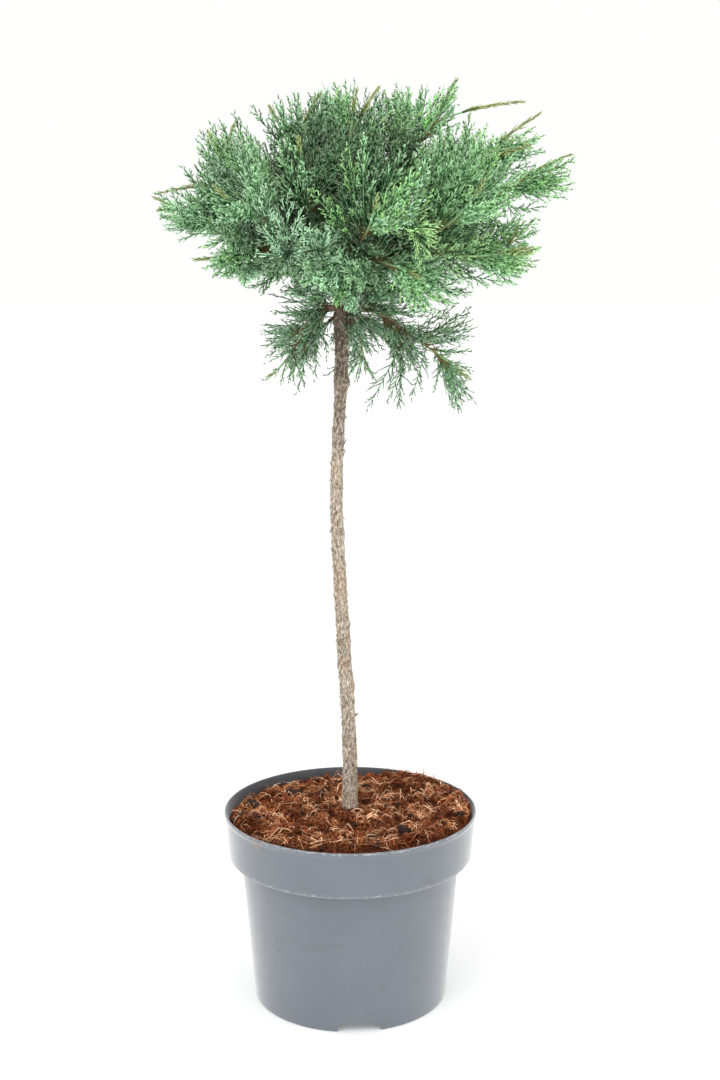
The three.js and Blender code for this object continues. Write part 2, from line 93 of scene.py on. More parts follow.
DRAIN_BLEND_COLUMNS = 8
DRAIN_DEPTH = 5.0

# The heights of the whitened edges and how wide they are: band scuffs, and rim scuffs with a painted
# highlight
BAND_SCUFFS = (BAND_FOOT + 0.6, 1.5)
RIM_SCUFFS_AND_HIGHLIGHT = (POT_HEIGHT - 0.8, 1.6)

# The potting mix
MIX_EDGE_DROP = 11.0
MIX_MOUND = 6.5
MIX_LUMP = 3.9
FIT_GAP = 0.3
MIX_EDGE_RADIUS = 107.2
MIX_BANK = 9.0
MIX_HOLLOW_AT = 130.0
MIX_COLUMNS = 320
MIX_ROWS = 96
MIX_EDGE_DIP = 1.2
MIX_FLOOR = 2.8
MIX_SEED = 11
# Painted shade: the tint of the fibres that lie lowest on the mix
LOW_FIBRE_PAINTED_SHADE = (0.98, 0.72, 0.6)
RIM_FIBRES_AT = 225.0
RIM_FIBRES = 6
RIM_FIBRE_RADIUS = 0.12

# The mix's side and underside inside the pot, as reach and height
MIX_BELOW = ((49.4, MIX_FLOOR), (54, 12.6), (82.6, 14), (93.4, 128), (96.4, 136))

# Rise, size and seed of each kind of crumb in the mix's surface
MIX_CRUMBS = ((1.9, 14, 5), (1.6, 6, 6), (0.9, 2.8, 7))

# Size and strength of the lighter and darker clumps of fibre
MIX_CLUMPS = ((31.0, 0.22), (12.0, 0.26))

# Places and sizes of the large bark chunks
BIG_CHUNKS = (
    (-88, 27, 8.5), (-94, -16, 9.5), (-84, -30, 6.5), (-52, 46, 7.5), (46, -65, 5.5), (30, 28, 4.5),
)

# The path of the fibres over the rim, as reach and height, and how far each of its points hangs lower
RIM_PATH = ((99, 166), (105, 171), (109.5, 173.2), (112.4, 172.6), (113.4, 168), (113.3, 163))
RIM_PATH_DROP = (0, 0, 0, 0, 0.8, 1.6)

# The trunk, with heights above the pot's underside
GROUND = POT_HEIGHT - MIX_EDGE_DROP + MIX_MOUND
TRUNK_SINK = 6.0
TRUNK_TOP = 668.0
TRUNK_BOW = 11.5
TRUNK_FOOT_RADIUS = 6.5
TRUNK_RADIUS = 5.0
TAPER_END = 520.0
ROOT_FLARE = 2.6
FLARE_HEIGHT = 9.0
GRAFT_HEIGHT = 603.0
GRAFT_SWELLING = 2.7
CROTCH_HEIGHT = 635.0
CROTCH_SWELLING = 1.0
KNOT_HEIGHT = 548.0
KNOT_SWELLING = 0.9
TRUNK_TIP_RADIUS = 2.8
TRUNK_CAP = 1.5
TRUNK_ROWS = 640
TRUNK_COLUMNS = 76
TRUNK_SAMPLES = 400
ROUGH_BARK = (540.0, 600.0)
FLAKE_SEED = 31

# Rise, size and seed of each kind of plate in the bark
BARK_PLATES = ((0.8, (3.2, 3.2, 8.5), 21), (0.9, (1.5, 1.5, 3.2), 22))

# Height, bearing, size and rise of each small knot
SMALL_KNOTS = (
    (547, -20, 5.0, 2.2), (505, 200, 4, 1.0), (466, -60, 3.4, 1.2), (418, 30, 3, 1.0),
    (372, -100, 3.6, 1.1), (338, -30, 4.2, 1.6), (300, 170, 3.2, 1.0), (281, -15, 3.8, 1.5),
    (236, -80, 3.4, 1.2), (203, 80, 4, 1.2),
)

# The crown's outline
CROWN_TOP = 793.0
CROWN_SHOULDER = 85.0
CROWN_FALL = 60.0
CROWN_TILT = 0.22
CROWN_UNDERSIDE = 604.0
UNDERSIDE_SHOULDER = 95.0
UNDERSIDE_RISE = 100.0
HANGING_TOP = 640.0
SIDE_OVERREACH = 4.0
CROWN_MIDDLE = (0.0, 0.0, 690.0)
CROWN_HALF_SIZE = (165.0, 140.0, 95.0)

# Boughs, stems, twigs and sprays, by the source's rule
BOUGH_FOOT_RADIUS = 3.2
BOUGH_TIP_RADIUS = 1.8
TIP_STEM_SHARE = 0.96
SIDE_STEM_SHARE = 0.62
TWIGS_TRIED = 300
TWIG_SPAN = (0.04, 0.94)
TWIG_LEAN = 58
TWIG_LEAN_DROP = 34
TWIG_LEAN_SPREAD = 20
TWIG_TURN_SPREAD = 60
TWIG_LIFT = 0.12
TWIG_LENGTH = (0.4, 0.26)
SPRAYS_KEPT = 9
SPRAY_SIZES = (1.0, 0.86, 0.74, 0.64)
SPRAY_SLIMNESS = 0.32
SPRAY_SPACING = 17.0
SPRAY_TEETH = ((0.3, 0.9), (0.36, 0.36), (0.66, 0.82))
SPACE_MARGIN = 0.8
LIMB_MARGIN = 1.2
GOLDEN_TURN = 137.508
GOLDEN_SHARE = 0.618034
LIMB_STEPS = 8
TRUNK_STEPS = 40
SIDE_HELPER = (0.31, 0.77, 0.12)

# Finer growth, which only this script has
FILL_TRIES = 1200
FILL_SIZES = (1.0, 0.86, 0.74, 0.64, 0.54, 0.45)
FILL_SPACING = 6.0
FILL_OVERLAP = 9.0
STEM_MARGIN = 2.0
BOUGH_SPRAYS = 54
BOUGH_SPRAY_LENGTH = 44.0
BOUGH_SPRAY_REACH = 150.0
HANGING_REACH = 100.0
HANGING_TIP = 530.0
BOUGH_TRIES = 300
BOUGH_SEED = 100
MASS_SEED = 400
LONG_SHOOT_SEED = 700
BRANCHLET_SPACING = 3.3
BRANCHLET_ANGLE = 58
BRANCHLET_ANGLE_DROP = 28
BRANCHLET_ANGLE_SPREAD = 9
SHOOT_SPACING = 3.3
SHOOT_ANGLES = (28, 48)
SHOOT_SIZES = (2.4, 10)
LEADER_ANGLES = (14, 30)
AXIS_LIFT = 0.05
BRANCHLET_SHADES = (0.55, 1.32)
BRANCHLET_ROWS = (0, 0.5, 0.88, 1)
BRANCHLET_GIRTHS = (1.06, 0.76)
SHOOT_GIRTH = 1.14
LEADER_SHOOT_ROWS = (0, 0.4, 0.85, 1)
LEADER_SHOOT_GIRTHS = (0.95, 0.7)
WIDTH_IN_RADII = 1.65
SPRAY_HALF_WIDTH = 0.32
BARE_SHARE = 0.4
WOOD_RADIUS = 0.85
WOOD_THINNING = 0.16
DROOP = 0.32
BOUGH_DROOP = 0.75
HANGING_SHARE = 0.56
HANGING_BOUGH_SPRAYS = 34
HANGING_SHOOTS = 0.45
HANGING_THICKNESS = 0.86
HANGING_SHADE = (0.54, 0.46, 0.58)
# Round this pocket in the crown the sprays take the old colour as painted shade
HOLLOW = (4.0, -62.0, 716.0)
HOLLOW_RADIUS = 50.0
SPRAY_FLATNESS = 0.62
BOUGH_ROWS = 64
BOUGH_SIDES = 18
STEM_ROWS = 34
STEM_SEED = 200
STEM_TIP_RADIUS = 0.45
AXIS_ROWS = 6
AXIS_RADII = (0.75, 0.42)
STALK_RADII = (0.85, 0.7)
LEADER_ROWS = 30
LEADER_SPACING = 1.5
SHOOT_BEND = 0.35
SHOOT_STALK = 0.35

# The floor's rings, in millimetres, and the lights and camera, in metres
FLOOR_RINGS = (50.0, 400, 1200, 4000, 9000, 20000)
FLOOR_COLUMNS = 64
WHITE = (1.0, 1.0, 0.995)
CAMERA_PLACE = (0.0086, -1.3182, 0.652)
CAMERA_TILT = 10.31
LENS = 51.84
SENSOR_WIDTH = 36.0
FURTHEST_SEEN = 100.0

# name: place, target, width and share of the key light's power
LIGHTS = {
    "key_light": ((-0.9, -1.5, 2.2), (0, 0, 0.5), 1.4, 1.0),
    "fill_light": ((1.6, -1.2, 1.3), (0, 0, 0.45), 1.4, 0.45),
}

# name: height where it leaves the trunk, compass bearing, reach and height of its tip, arch and girth
BOUGHS = {
    "left": (622, 178, 62, 668, 4, 1),
    "left_front": (630, 226, 52, 670, 5, 1),
    "front": (618, 276, 50, 662, 7, 1),
    "right_front": (628, 320, 58, 662, 7, 1),
    "right": (620, 1, 74, 668, 3, 1),
    "right_back": (632, 46, 56, 674, 5, 1),
    "back": (622, 92, 52, 668, 6, 1),
    "left_back": (628, 138, 54, 668, 6, 1),
    "top_left": (652, 168, 20, 700, 0, 1),
    "top_right": (648, 12, 30, 704, 0, 1),
    "low_left": (606, 202, 32, 604, 6, 0.65),
    "low_right": (604, 334, 44, 596, 9, 0.65),
    "low_back": (608, 82, 42, 606, 7, 0.65),
}

# name: bough and share of its length, bearing, reach and height of the tip, sag, longest spray, new shoot
MASSES = {
    "left": ("left", 1, 181, 162, 701, 5, 52, 42),
    "left_upper": ("left", 0.62, 166, 124, 757, 9, 62, 24),
    "left_lower": ("left", 0.74, 202, 134, 650, 0, 56, 20),
    "left_front": ("left_front", 1, 222, 140, 706, 6, 60, 22),
    "front_left": ("left_front", 0.6, 250, 112, 742, 8, 60, 18),
    "front": ("front", 1, 279, 138, 696, 8, 62, 20),
    "front_lower": ("front", 0.6, 300, 110, 636, -4, 54, 18),
    "right_front": ("right_front", 1, 313, 152, 710, 8, 62, 22),
    "right_lower": ("right_front", 0.7, 339, 156, 656, 4, 58, 22),
    "right": ("right", 1, 357, 182, 735, -6, 52, 50),
    "right_upper": ("right", 0.6, 11, 164, 771, -13, 56, 52),
    "right_back": ("right_back", 1, 42, 150, 712, 6, 62, 24),
    "back": ("back", 1, 82, 146, 712, 8, 62, 22),
    "back_left": ("left_back", 0.6, 118, 132, 736, 8, 60, 18),
    "left_back": ("left_back", 1, 147, 144, 690, 6, 60, 22),
    "top_left": ("top_left", 1, 178, 66, 774, 4, 56, 18),
    "top_front": ("top_left", 0.6, 278, 44, 784, 6, 56, 22),
    "top_right": ("top_right", 1, 350, 88, 793, 4, 60, 26),
    "top_back": ("top_right", 0.6, 74, 60, 780, 6, 58, 20),
    "low_left": ("low_left", 1, 207, 74, 556, 6, 46, 20),
    "low_right": ("low_right", 1, 344, 104, 552, -2, 56, 24),
    "low_back": ("low_back", 1, 80, 82, 552, 6, 46, 20),
}

# The height of the lowest spray of each mass that hangs below the crown
LOWEST = {"low_left": 547, "low_right": 523, "low_back": 540}

# Which masses' sprays are joined into one piece
SPRAY_PIECES = {
    "sprays_left": ("left", "left_upper", "left_lower", "left_back"),
    "sprays_front": ("left_front", "front_left", "front", "front_lower"),
    "sprays_right": ("right_front", "right_lower", "right", "right_upper"),
    "sprays_back": ("right_back", "back", "back_left"),
    "sprays_top": ("top_left", "top_front", "top_right", "top_back"),
    "sprays_low": ("low_left", "low_right", "low_back"),
}

# mass, share of its stem where a long new shoot leaves it, and bearing, reach and height of the shoot's tip
LONG_SHOOTS = (
    ("left_upper", 0.62, 180, 162, 703),
    ("left", 0.72, 184, 158, 690),
    ("top_right", 0.6, 7, 148, 779),
    ("right_upper", 0.5, 352, 150, 742),
    ("right", 0.66, 4, 168, 722),
    ("right_lower", 0.7, 349, 152, 660),
    ("right_lower", 0.78, 346, 140, 673),
    ("top_left", 0.5, 200, 24, 784),
    ("top_front", 0.7, 316, 34, 787),
    ("left_upper", 0.8, 158, 104, 765),
)

# mass, share of its stem where a large plume leaves it, knee and tip of its axis, bare share and colour
PLUMES = (
    ("left_front", 0.12, (-50, -96, 622), (-46, -112, 699), 0.5, "blue_green"),
    ("left_front", 0.2, (-62, -102, 652), (-64, -116, 706), 0.4, "blue_green"),
    ("left_front", 0.05, (-30, -92, 630), (-16, -112, 672), 0.4, "blue_green"),
    ("front_left", 0.4, (-38, -96, 690), (-52, -106, 738), 0.3, "sea_green"),
    ("front", 0.3, (58, -118, 694), (56, -122, 644), 0.3, "lime"),
    ("right_front", 0.2, (78, -96, 640), (108, -112, 668), 0.4, "fresh"),
    ("front_lower", 0.4, (14, -98, 626), (-8, -118, 652), 0.3, "sea_green"),
    ("right", 0.3, (112, -10, 668), (153, -6, 677), 0.25, "leaf_green"),
    ("right", 0.42, (126, 12, 686), (164, 16, 694), 0.25, "sea_green"),
    ("right_lower", 0.4, (112, -38, 664), (152, -44, 682), 0.25, "leaf_green"),
    ("right_lower", 0.25, (92, -40, 634), (130, -32, 632), 0.25, "sea_green"),
    ("right_lower", 0.1, (66, -48, 624), (98, -62, 624), 0.25, "blue_green"),
    ("left_lower", 0.25, (-72, -34, 634), (-104, -44, 640), 0.25, "blue_green"),
    ("left_lower", 0.1, (-58, -22, 630), (-84, -16, 627), 0.25, "sea_green"),
    ("left_upper", 0.35, (-84, 4, 726), (-94, -4, 768), 0.3, "sea_green"),
    ("left_upper", 0.45, (-96, 22, 732), (-108, 16, 764), 0.3, "blue_green"),
    ("top_left", 0.25, (-56, -16, 738), (-78, -26, 771), 0.3, "sea_green"),
    ("low_right", 0.1, (36, -40, 568), (14, -52, 529), 0.3, "blue_green"),
    ("low_right", 0.2, (44, -46, 566), (30, -60, 535), 0.3, "sea_green"),
    ("low_right", 0.35, (58, -46, 562), (50, -60, 539), 0.25, "blue_green"),
    ("low_right", 0.5, (74, -42, 560), (68, -56, 543), 0.25, "sea_green"),
    ("low_left", 0.4, (-48, -30, 576), (-70, -42, 566), 0.3, "blue_green"),
    ("low_left", 0.2, (-34, -28, 566), (-44, -40, 541), 0.3, "sea_green"),
    ("low_left", 0.1, (-24, -24, 588), (-29, -32, 550), 0.3, "sea_green"),
    ("low_left", 0.05, (-18, -22, 594), (-19, -26, 566), 0.3, "blue_green"),
)


def tone(red, green, blue):
    """A screen colour from 0 to 255 as the linear colour that shaders use."""
    shares = [value / 255 for value in (red, green, blue)]
    return tuple(s / 12.92 if s <= 0.04045 else ((s + 0.055) / 1.055) ** 2.4 for s in shares)


def colour_property(name, description, default):
    """A colour that a user would change."""
    return FloatVectorProperty(
        name=name, description=description, subtype="COLOR", size=3, min=0, max=1, default=default
    )


def length_property(name, description, millimetres):
    """A length that a user would change, in metres."""
    return FloatProperty(name=name, description=description, unit="LENGTH", default=millimetres * MM, min=0)


def count_property(name, description, default, least=0):
    """A number of like things that a user would change."""
    return IntProperty(name=name, description=description, default=default, min=least)


def light_property(name, description, default, unit="NONE"):
    """A strength of light that a user would change."""
    return FloatProperty(name=name, description=description, default=default, min=0, unit=unit)


class JUNIPER_PG_pot(PropertyGroup):
    plastic: colour_property("Plastic", "Colour of the moulded wall", tone(103, 110, 119))
    # Also the colour of the painted highlight along the rim
    scuff_and_highlight: colour_property("Scuff", "Colour of the whitened scuffs on edges", tone(196, 200, 202))
    grime: colour_property("Grime", "Colour of the faint dark marks", tone(88, 92, 96))
    rounding: length_property("Rounding", "Radius of the wall's corners", 1.4)


class JUNIPER_PG_mix(PropertyGroup):
    crevice: colour_property("Crevice", "Colour of the damp mix between the fibres", tone(30, 11, 5))
    coir: colour_property("Coir", "Colour of most fibres", tone(176, 112, 70))
    pale_fibre: colour_property("Pale fibre", "Colour of the driest fibres", tone(230, 190, 154))
    rust_fibre: colour_property("Rust fibre", "Colour of the reddest fibres", tone(132, 66, 38))
    chunk: colour_property("Chunk", "Colour of the dark bark chunks", tone(50, 38, 31))
    fibres: count_property("Fibres", "How many loose fibres lie on the mix", 11400)
    thickness: length_property("Fibre thickness", "Width of one fibre", 0.51)
    chunks: count_property("Chunks", "How many crumbs and bark chunks lie on it", 520)


class JUNIPER_PG_bark(PropertyGroup):
    flake: colour_property("Flake", "Colour of the pale peeling bark", tone(206, 195, 177))
    fissure: colour_property("Fissure", "Colour of the brown bark between flakes", tone(128, 106, 88))
    upper: colour_property("Upper bark", "Colour of the rough bark near the graft", tone(98, 79, 66))
    young: colour_property("Young bark", "Colour of boughs and stems", tone(150, 122, 98))
    relief: length_property("Relief", "Height of the flakes over the fissures", 0.6)
    flakes: count_property("Loose flakes", "How many flakes curl off the trunk", 460)


class JUNIPER_PG_sprays(PropertyGroup):
    sprays: count_property("Sprays", "How many sprays a mass has", 66, 8)
    thickness: length_property("Shoot thickness", "Width of one scaly shoot", 0.98)
    blue_green: colour_property("Blue green", "Colour of sprays with the most bloom", tone(172, 216, 178))
    sea_green: colour_property("Sea green", "Colour of most sprays", tone(148, 200, 146))
    leaf_green: colour_property("Leaf green", "Colour of the sprays with little bloom", tone(136, 194, 112))
    fresh: colour_property("Fresh", "Colour of young sprays", tone(156, 208, 132))
    lime: colour_property("Lime", "Colour of the brightest young sprays", tone(166, 214, 136))
    # Old sprays inside the crown, whose colour is also painted shade
    deep: colour_property("Deep", "Colour of old sprays inside the crown", tone(30, 96, 46))
    olive: colour_property("Olive", "Colour of the long new shoots", tone(162, 164, 90))


class JUNIPER_PG_studio(PropertyGroup):
    floor: colour_property("Floor", "Colour of the floor", (0.95, 0.95, 0.945))
    glow: light_property("Floor glow", "Light of the floor's own that keeps it white", 0.14)
    air: light_property("Ambient light", "Strength of the light from all around", 1.0)
    key: light_property("Key light", "Power of the stronger soft light", 16, "POWER")


# Numbers and vectors


def unit(vectors):
    """Each vector divided by its own length."""
    return vectors / np.maximum(np.linalg.norm(vectors, axis=-1, keepdims=True), 1e-9)


def smoothstep(value, low, high):
    """3s^2 - 2s^3 with s = (value - low) / (high - low), kept from 0 to 1."""
    share = np.clip((value - low) / (high - low), 0, 1)
    return share * share * (3 - 2 * share)


def bump(value, middle, width):
    """A bump of height 1: exp(-((value - middle) / width)^2)."""
    return np.exp(-(((value - middle) / width) ** 2))


def ripples(points, size, seed, count=24):
    """A random field from about -1 to 1: the mean of sines of the dot products of the points with random
    waves about one size long. Size may be three numbers, one for each axis."""
    random = np.random.default_rng(seed)
    waves = unit(random.normal(size=(count, 3))) * random.uniform(0.7, 1.4, (count, 1))
    phases = random.uniform(0, 2 * math.pi, count)
    total = np.zeros(points.shape[:-1])
    for wave, phase in zip(waves * (2 * math.pi / np.asarray(size, float)), phases):
        total += np.sin(points @ wave + phase)
    return total * math.sqrt(2 / count) * 0.6


def random_from(seed):
    """The source's repeatable random numbers: state = state * 1664525 + 1013904223, modulo 2^32."""
    state = seed * 7919 + 12345
    while True:
        state = (state * 1664525 + 1013904223) % 2**32
        yield state / 2**32


def around(bearing, reach, height):
    """The point at a compass bearing, a reach from the pot's axis and a height."""
    turn = math.radians(bearing)
    return np.array([reach * math.cos(turn), reach * math.sin(turn), height])


def round_steps(count, start=0.0):
    """A full turn in even steps, in radians, from a start given in steps."""
    return 2 * math.pi * (np.arange(count) + start) / count


def turned(reach, turns, height):
    """The points (reach cos turn, reach sin turn, height)."""
    x, y = reach * np.cos(turns), reach * np.sin(turns)
    return np.stack([x, y, height + 0 * x], -1)


def scattered(count, furthest, random):
    """Random places on a disc as x and y: furthest * sqrt(chance) out, at any bearing."""
    reach = furthest * np.sqrt(random.random(count))
    turn = random.uniform(0, 2 * math.pi, count)
    return reach * np.cos(turn), reach * np.sin(turn)


# Meshes


def surface(name, parts, material):
    """A mesh object of one or more parts, each (points, faces, attributes), with its place in its mesh.
    Faces are arrays of corner numbers, one array for each number of corners, and attributes have a value
    for each point."""
    points = np.concatenate([part[0] for part in parts])
    starts = np.cumsum([0] + [len(part[0]) for part in parts[:-1]])
    faces = [face + start for part, start in zip(parts, starts) for face in part[1]]
    corners = np.concatenate([face.ravel() for face in faces])
    sizes = np.concatenate([np.full(len(face), face.shape[1]) for face in faces])
    mesh = bpy.data.meshes.new(name)
    mesh.vertices.add(len(points))
    mesh.vertices.foreach_set("co", (points * MM).astype(np.float32).ravel())
    mesh.loops.add(len(corners))
    mesh.loops.foreach_set("vertex_index", corners.astype(np.int32))
    mesh.polygons.add(len(sizes))
    mesh.polygons.foreach_set("loop_start", (np.cumsum(sizes) - sizes).astype(np.int32))
    mesh.polygons.foreach_set("use_smooth", np.ones(len(sizes), bool))
    for key in parts[0][2]:
        values = np.concatenate([np.asarray(part[2][key], np.float32) for part in parts])
        if values.ndim == 2:
            layer = mesh.attributes.new(key, "FLOAT_COLOR", "POINT")
            opaque = np.concatenate([values, np.ones((len(values), 1), np.float32)], 1)
            layer.data.foreach_set("color", opaque.ravel())
        else:
            mesh.attributes.new(key, "FLOAT", "POINT").data.foreach_set("value", values)
    mesh.update(calc_edges=True)
    mesh.validate()
    mesh.materials.append(material)
    piece = bpy.data.objects.new(name, mesh)
    bpy.context.scene.collection.objects.link(piece)
    return piece


def seat(piece, nodes):
    """Lets a finished piece ride on the part's one body, in place of its CAD nodes."""
    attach(piece, "root")
    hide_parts(*nodes)


def grid_faces(rows, columns):
    """The four-cornered faces of a grid of points whose last column meets its first."""
    row = np.arange(rows - 1)[:, None] * columns
    column = np.arange(columns)[None]
    following = (column + 1) % columns
    corners = (row + column, row + following, row + columns + following, row + columns + column)
    return np.stack(corners, -1).reshape(-1, 4)


def fan_faces(columns, middle, start=0):
    """The three-cornered faces from a middle point to a ring of points that begins at a start."""
    column = np.arange(columns)
    return np.stack([np.full(columns, middle), start + column, start + (column + 1) % columns], 1)


def repeated(faces, count, size):
    """Arrays of faces repeated for a number of like parts that have size points each."""
    offsets = (np.arange(count) * size)[:, None, None]
    return [(face[None] + offsets).reshape(-1, face.shape[1]) for face in faces]


def capped(rings, first, last):
    """Rings of points, (rows, columns, 3), closed at both ends by fans to a first and a last point."""
    rows, columns = rings.shape[:2]
    points = np.vstack([rings.reshape(-1, 3), first, last])
    start = fan_faces(columns, rows * columns)[:, [0, 2, 1]]
    end = fan_faces(columns, rows * columns + 1, (rows - 1) * columns)[:, [1, 2, 0]]
    return points, [grid_faces(rows, columns), np.vstack([start, end])]


def rounded(profile, radius, steps=5):
    """A profile of (radius, height) corners with each inner corner replaced by a quadratic curve that
    leaves its two sides at the rounding radius from the corner, and long sides divided."""
    corners = np.array(profile, float)
    line = [corners[0]]
    for before, corner, after in zip(corners[:-2], corners[1:-1], corners[2:]):
        back, onward = before - corner, after - corner
        reach = min(radius, 0.45 * np.linalg.norm(back), 0.45 * np.linalg.norm(onward))
        start = corner + back * reach / np.linalg.norm(back)
        end = corner + onward * reach / np.linalg.norm(onward)
        share = np.linspace(0, 1, steps)[:, None]
        line.extend((1 - share) ** 2 * start + 2 * share * (1 - share) * corner + share**2 * end)
    line.append(corners[-1])
    line = np.array(line)
    parts = []
    for start, end in zip(line[:-1], line[1:]):
        pieces = max(1, int(np.linalg.norm(end - start) / LONGEST_STEP))
        parts.append(start + (end - start) * np.arange(pieces)[:, None] / pieces)
    return np.vstack([*parts, line[-1:]])


def sides_of(along):
    """Two sides of each direction, at right angles to it and to each other."""
    side = unit(np.cross(along, SIDE_HELPER))
    return side, np.cross(along, side)


def side_frames(lines):
    """The two sides at each point of lines of points, (n, rows, 3)."""
    return sides_of(unit(np.gradient(lines, axis=1)))


def tubes(lines, radii, sides, dealt=None, along=None, flat=1.0, turn=None):
    """Closed tubes round many lines at once. Lines are (n, rows, 3) and radii (n, rows - 1): ring point =
    line point + radius (cos a side + flat sin a other), and the last point of each line is the tube's
    pointed tip. Dealt attributes hold a value or colour for each tube, and those along it one for each
    row, (n, rows)."""
    count, rows = lines.shape[:2]
    side, other = side_frames(lines)
    angles = round_steps(sides)[:, None]
    if turn is not None:
        side, other = np.cos(turn) * side + np.sin(turn) * other, np.cos(turn) * other - np.sin(turn) * side
    side, other = side[:, :-1, None], other[:, :-1, None]
    outwards = np.cos(angles) * side + flat * np.sin(angles) * other
    rings = lines[:, :-1, None] + radii[:, :, None, None] * outwards
    size = (rows - 1) * sides + 1
    points = np.concatenate([rings.reshape(count, -1, 3), lines[:, -1:]], 1).reshape(-1, 3)
    tips = fan_faces(sides, size - 1, (rows - 2) * sides)[:, [1, 2, 0]]
    foot = np.arange(sides)[None, ::-1]
    faces = repeated((grid_faces(rows - 1, sides), tips, foot), count, size)
    spread = {key: np.repeat(np.asarray(values, float), size, 0) for key, values in (dealt or {}).items()}
    for key, values in (along or {}).items():
        values = np.broadcast_to(values, (count, rows))
        spread[key] = np.concatenate([np.repeat(values[:, :-1], sides, 1), values[:, -1:]], 1).reshape(-1)
    return points, faces, spread


# Curves


def bent(start, end, pull):
    """The source's bent limb: a quadratic curve of start, middle + 2 pull and end, as three points."""
    return np.array([start, (start + end) / 2 + 2 * pull, end])


def matched(curve, share):
    """The shares and the three points of one curve (3, 3) or many (n, 3, 3), in shapes that go together."""
    share = np.asarray(share, float)[..., None]
    points = [curve[..., i, :] for i in range(3)]
    if curve.ndim == 3 and share.ndim == 3:
        points = [point[:, None] for point in points]
    return share, *points


def along_curve(curve, share):
    """(1-t)^2 A + 2t(1-t) C + t^2 B at each share t."""
    share, start, control, end = matched(curve, share)
    return (1 - share) ** 2 * start + 2 * share * (1 - share) * control + share**2 * end


def tangent_on(curve, share):
    """The unit vector of (1-t)(C - A) + t(B - C) at each share t."""
    share, start, control, end = matched(curve, share)
    return unit((1 - share) * (control - start) + share * (end - control))


TRUNK_POINTS = np.array([
    (-0.5, 7, GROUND - TRUNK_SINK),
    (-0.8, 6, 232),
    (-0.52 * TRUNK_BOW, 4, 325),
    (-TRUNK_BOW, 2, 440),
    (-0.76 * TRUNK_BOW, 1, 522),
    (-0.52 * TRUNK_BOW, 0, 590),
    (-0.43 * TRUNK_BOW, 0, 630),
    (-0.3 * TRUNK_BOW, 0, TRUNK_TOP),
])


def trunk_line(share):
    """The trunk's centre line: a smooth curve through its points, each with the slope of half the step
    between its neighbours, as cubic pieces (2w^3-3w^2+1)P + (w^3-2w^2+w)M + (3w^2-2w^3)Q + (w^3-w^2)N."""
    first = 2 * TRUNK_POINTS[0] - TRUNK_POINTS[1]
    last = 2 * TRUNK_POINTS[-1] - TRUNK_POINTS[-2]
    knots = np.vstack([first, TRUNK_POINTS, last])
    place = np.clip(np.asarray(share, float), 0, 1) * (len(TRUNK_POINTS) - 1)
    piece = np.minimum(place.astype(int), len(TRUNK_POINTS) - 2)
    w = (place - piece)[:, None]
    start, end = knots[piece + 1], knots[piece + 2]
    leaving, arriving = (end - knots[piece]) / 2, (knots[piece + 3] - start) / 2
    part = (2 * w**3 - 3 * w**2 + 1) * start + (w**3 - 2 * w**2 + w) * leaving
    return part + (3 * w**2 - 2 * w**3) * end + (w**3 - w**2) * arriving


def trunk_radius(height):
    """The source's radius at a height: taper, root flare, knot, and the swellings of graft and crotch."""
    down = np.clip((TAPER_END - height) / (TAPER_END - GROUND), 0, 1)
    taper = TRUNK_RADIUS + (TRUNK_FOOT_RADIUS - TRUNK_RADIUS) * down
    flare = ROOT_FLARE * np.exp(-(height - GROUND + TRUNK_SINK) / FLARE_HEIGHT)
    graft = GRAFT_SWELLING * bump(height, GRAFT_HEIGHT, 26)
    crotch = CROTCH_SWELLING * bump(height, CROTCH_HEIGHT, 24)
    knot = KNOT_SWELLING * bump(height, KNOT_HEIGHT, 9)
    thinning = (TRUNK_RADIUS - TRUNK_TIP_RADIUS) * smoothstep(height, CROTCH_HEIGHT, TRUNK_TOP)
    return taper + flare + graft + crotch + knot - thinning


def trunk_centre(height):
    """The point of the trunk's centre line nearest to a height."""
    line = trunk_line(np.arange(TRUNK_SAMPLES + 1) / TRUNK_SAMPLES)
    return line[np.argmin(np.abs(line[:, 2] - height))]


# Growth, by the source's rule


def bough_curve(name):
    """A bough from the trunk's centre to its tip, arched upwards."""
    leaves, bearing, reach, height, arch, _ = BOUGHS[name]
    return bent(trunk_centre(leaves), around(bearing, reach, height), np.array([0, 0, arch]))


def bough_radius(name, share):
    """The bough's radius, from foot to tip in a straight line, times its girth."""
    return BOUGHS[name][5] * (BOUGH_FOOT_RADIUS + (BOUGH_TIP_RADIUS - BOUGH_FOOT_RADIUS) * share)


def stem_of(name):
    """A mass's stem: its curve, the share of it that is woody, and the radius at its foot."""
    bough, at, bearing, reach, height, sag, _, shoot = MASSES[name]
    curve = bough_curve(bough)
    onward = tangent_on(curve, at)
    start = along_curve(curve, at) + onward * (FIT_GAP if at == 1 else 0)
    end = around(bearing, reach, height)
    distance = np.linalg.norm(end - start)
    pull = onward * (0.06 * distance if at == 1 else 0) - np.array([0, 0, sag])
    foot = bough_radius(bough, at) * (TIP_STEM_SHARE if at == 1 else SIDE_STEM_SHARE)
    return bent(start, end, pull), 1 - shoot / distance, foot


def distances(points, lines):
    """The shortest distance from each point to each of many lines with equal numbers of points, as (points,
    lines): for each straight step from P along D, the point's share s along it is kept from 0 to 1, and the
    squared distance is |X - P|^2 + s(s|D|^2 - 2(X - P).D)."""
    start = lines[:, :-1].reshape(-1, 3)
    along = np.diff(lines, axis=1).reshape(-1, 3)
    size = (along**2).sum(1)
    lean = points @ along.T - (start * along).sum(1)
    share = np.clip(lean / size, 0, 1)
    onward = share * (share * size - 2 * lean)
    squared = (points**2).sum(1)[:, None] - 2 * points @ start.T + (start**2).sum(1) + onward
    return np.sqrt(np.maximum(squared, 0)).reshape(len(points), len(lines), -1).min(2)


def clear_of_limbs(points, limbs):
    """Whether each point is further from every limb than the limb's radius and a margin."""
    clear = [(distances(points, lines) > radius + LIMB_MARGIN).all(1) for lines, radius in limbs]
    return np.logical_and.reduce(clear)


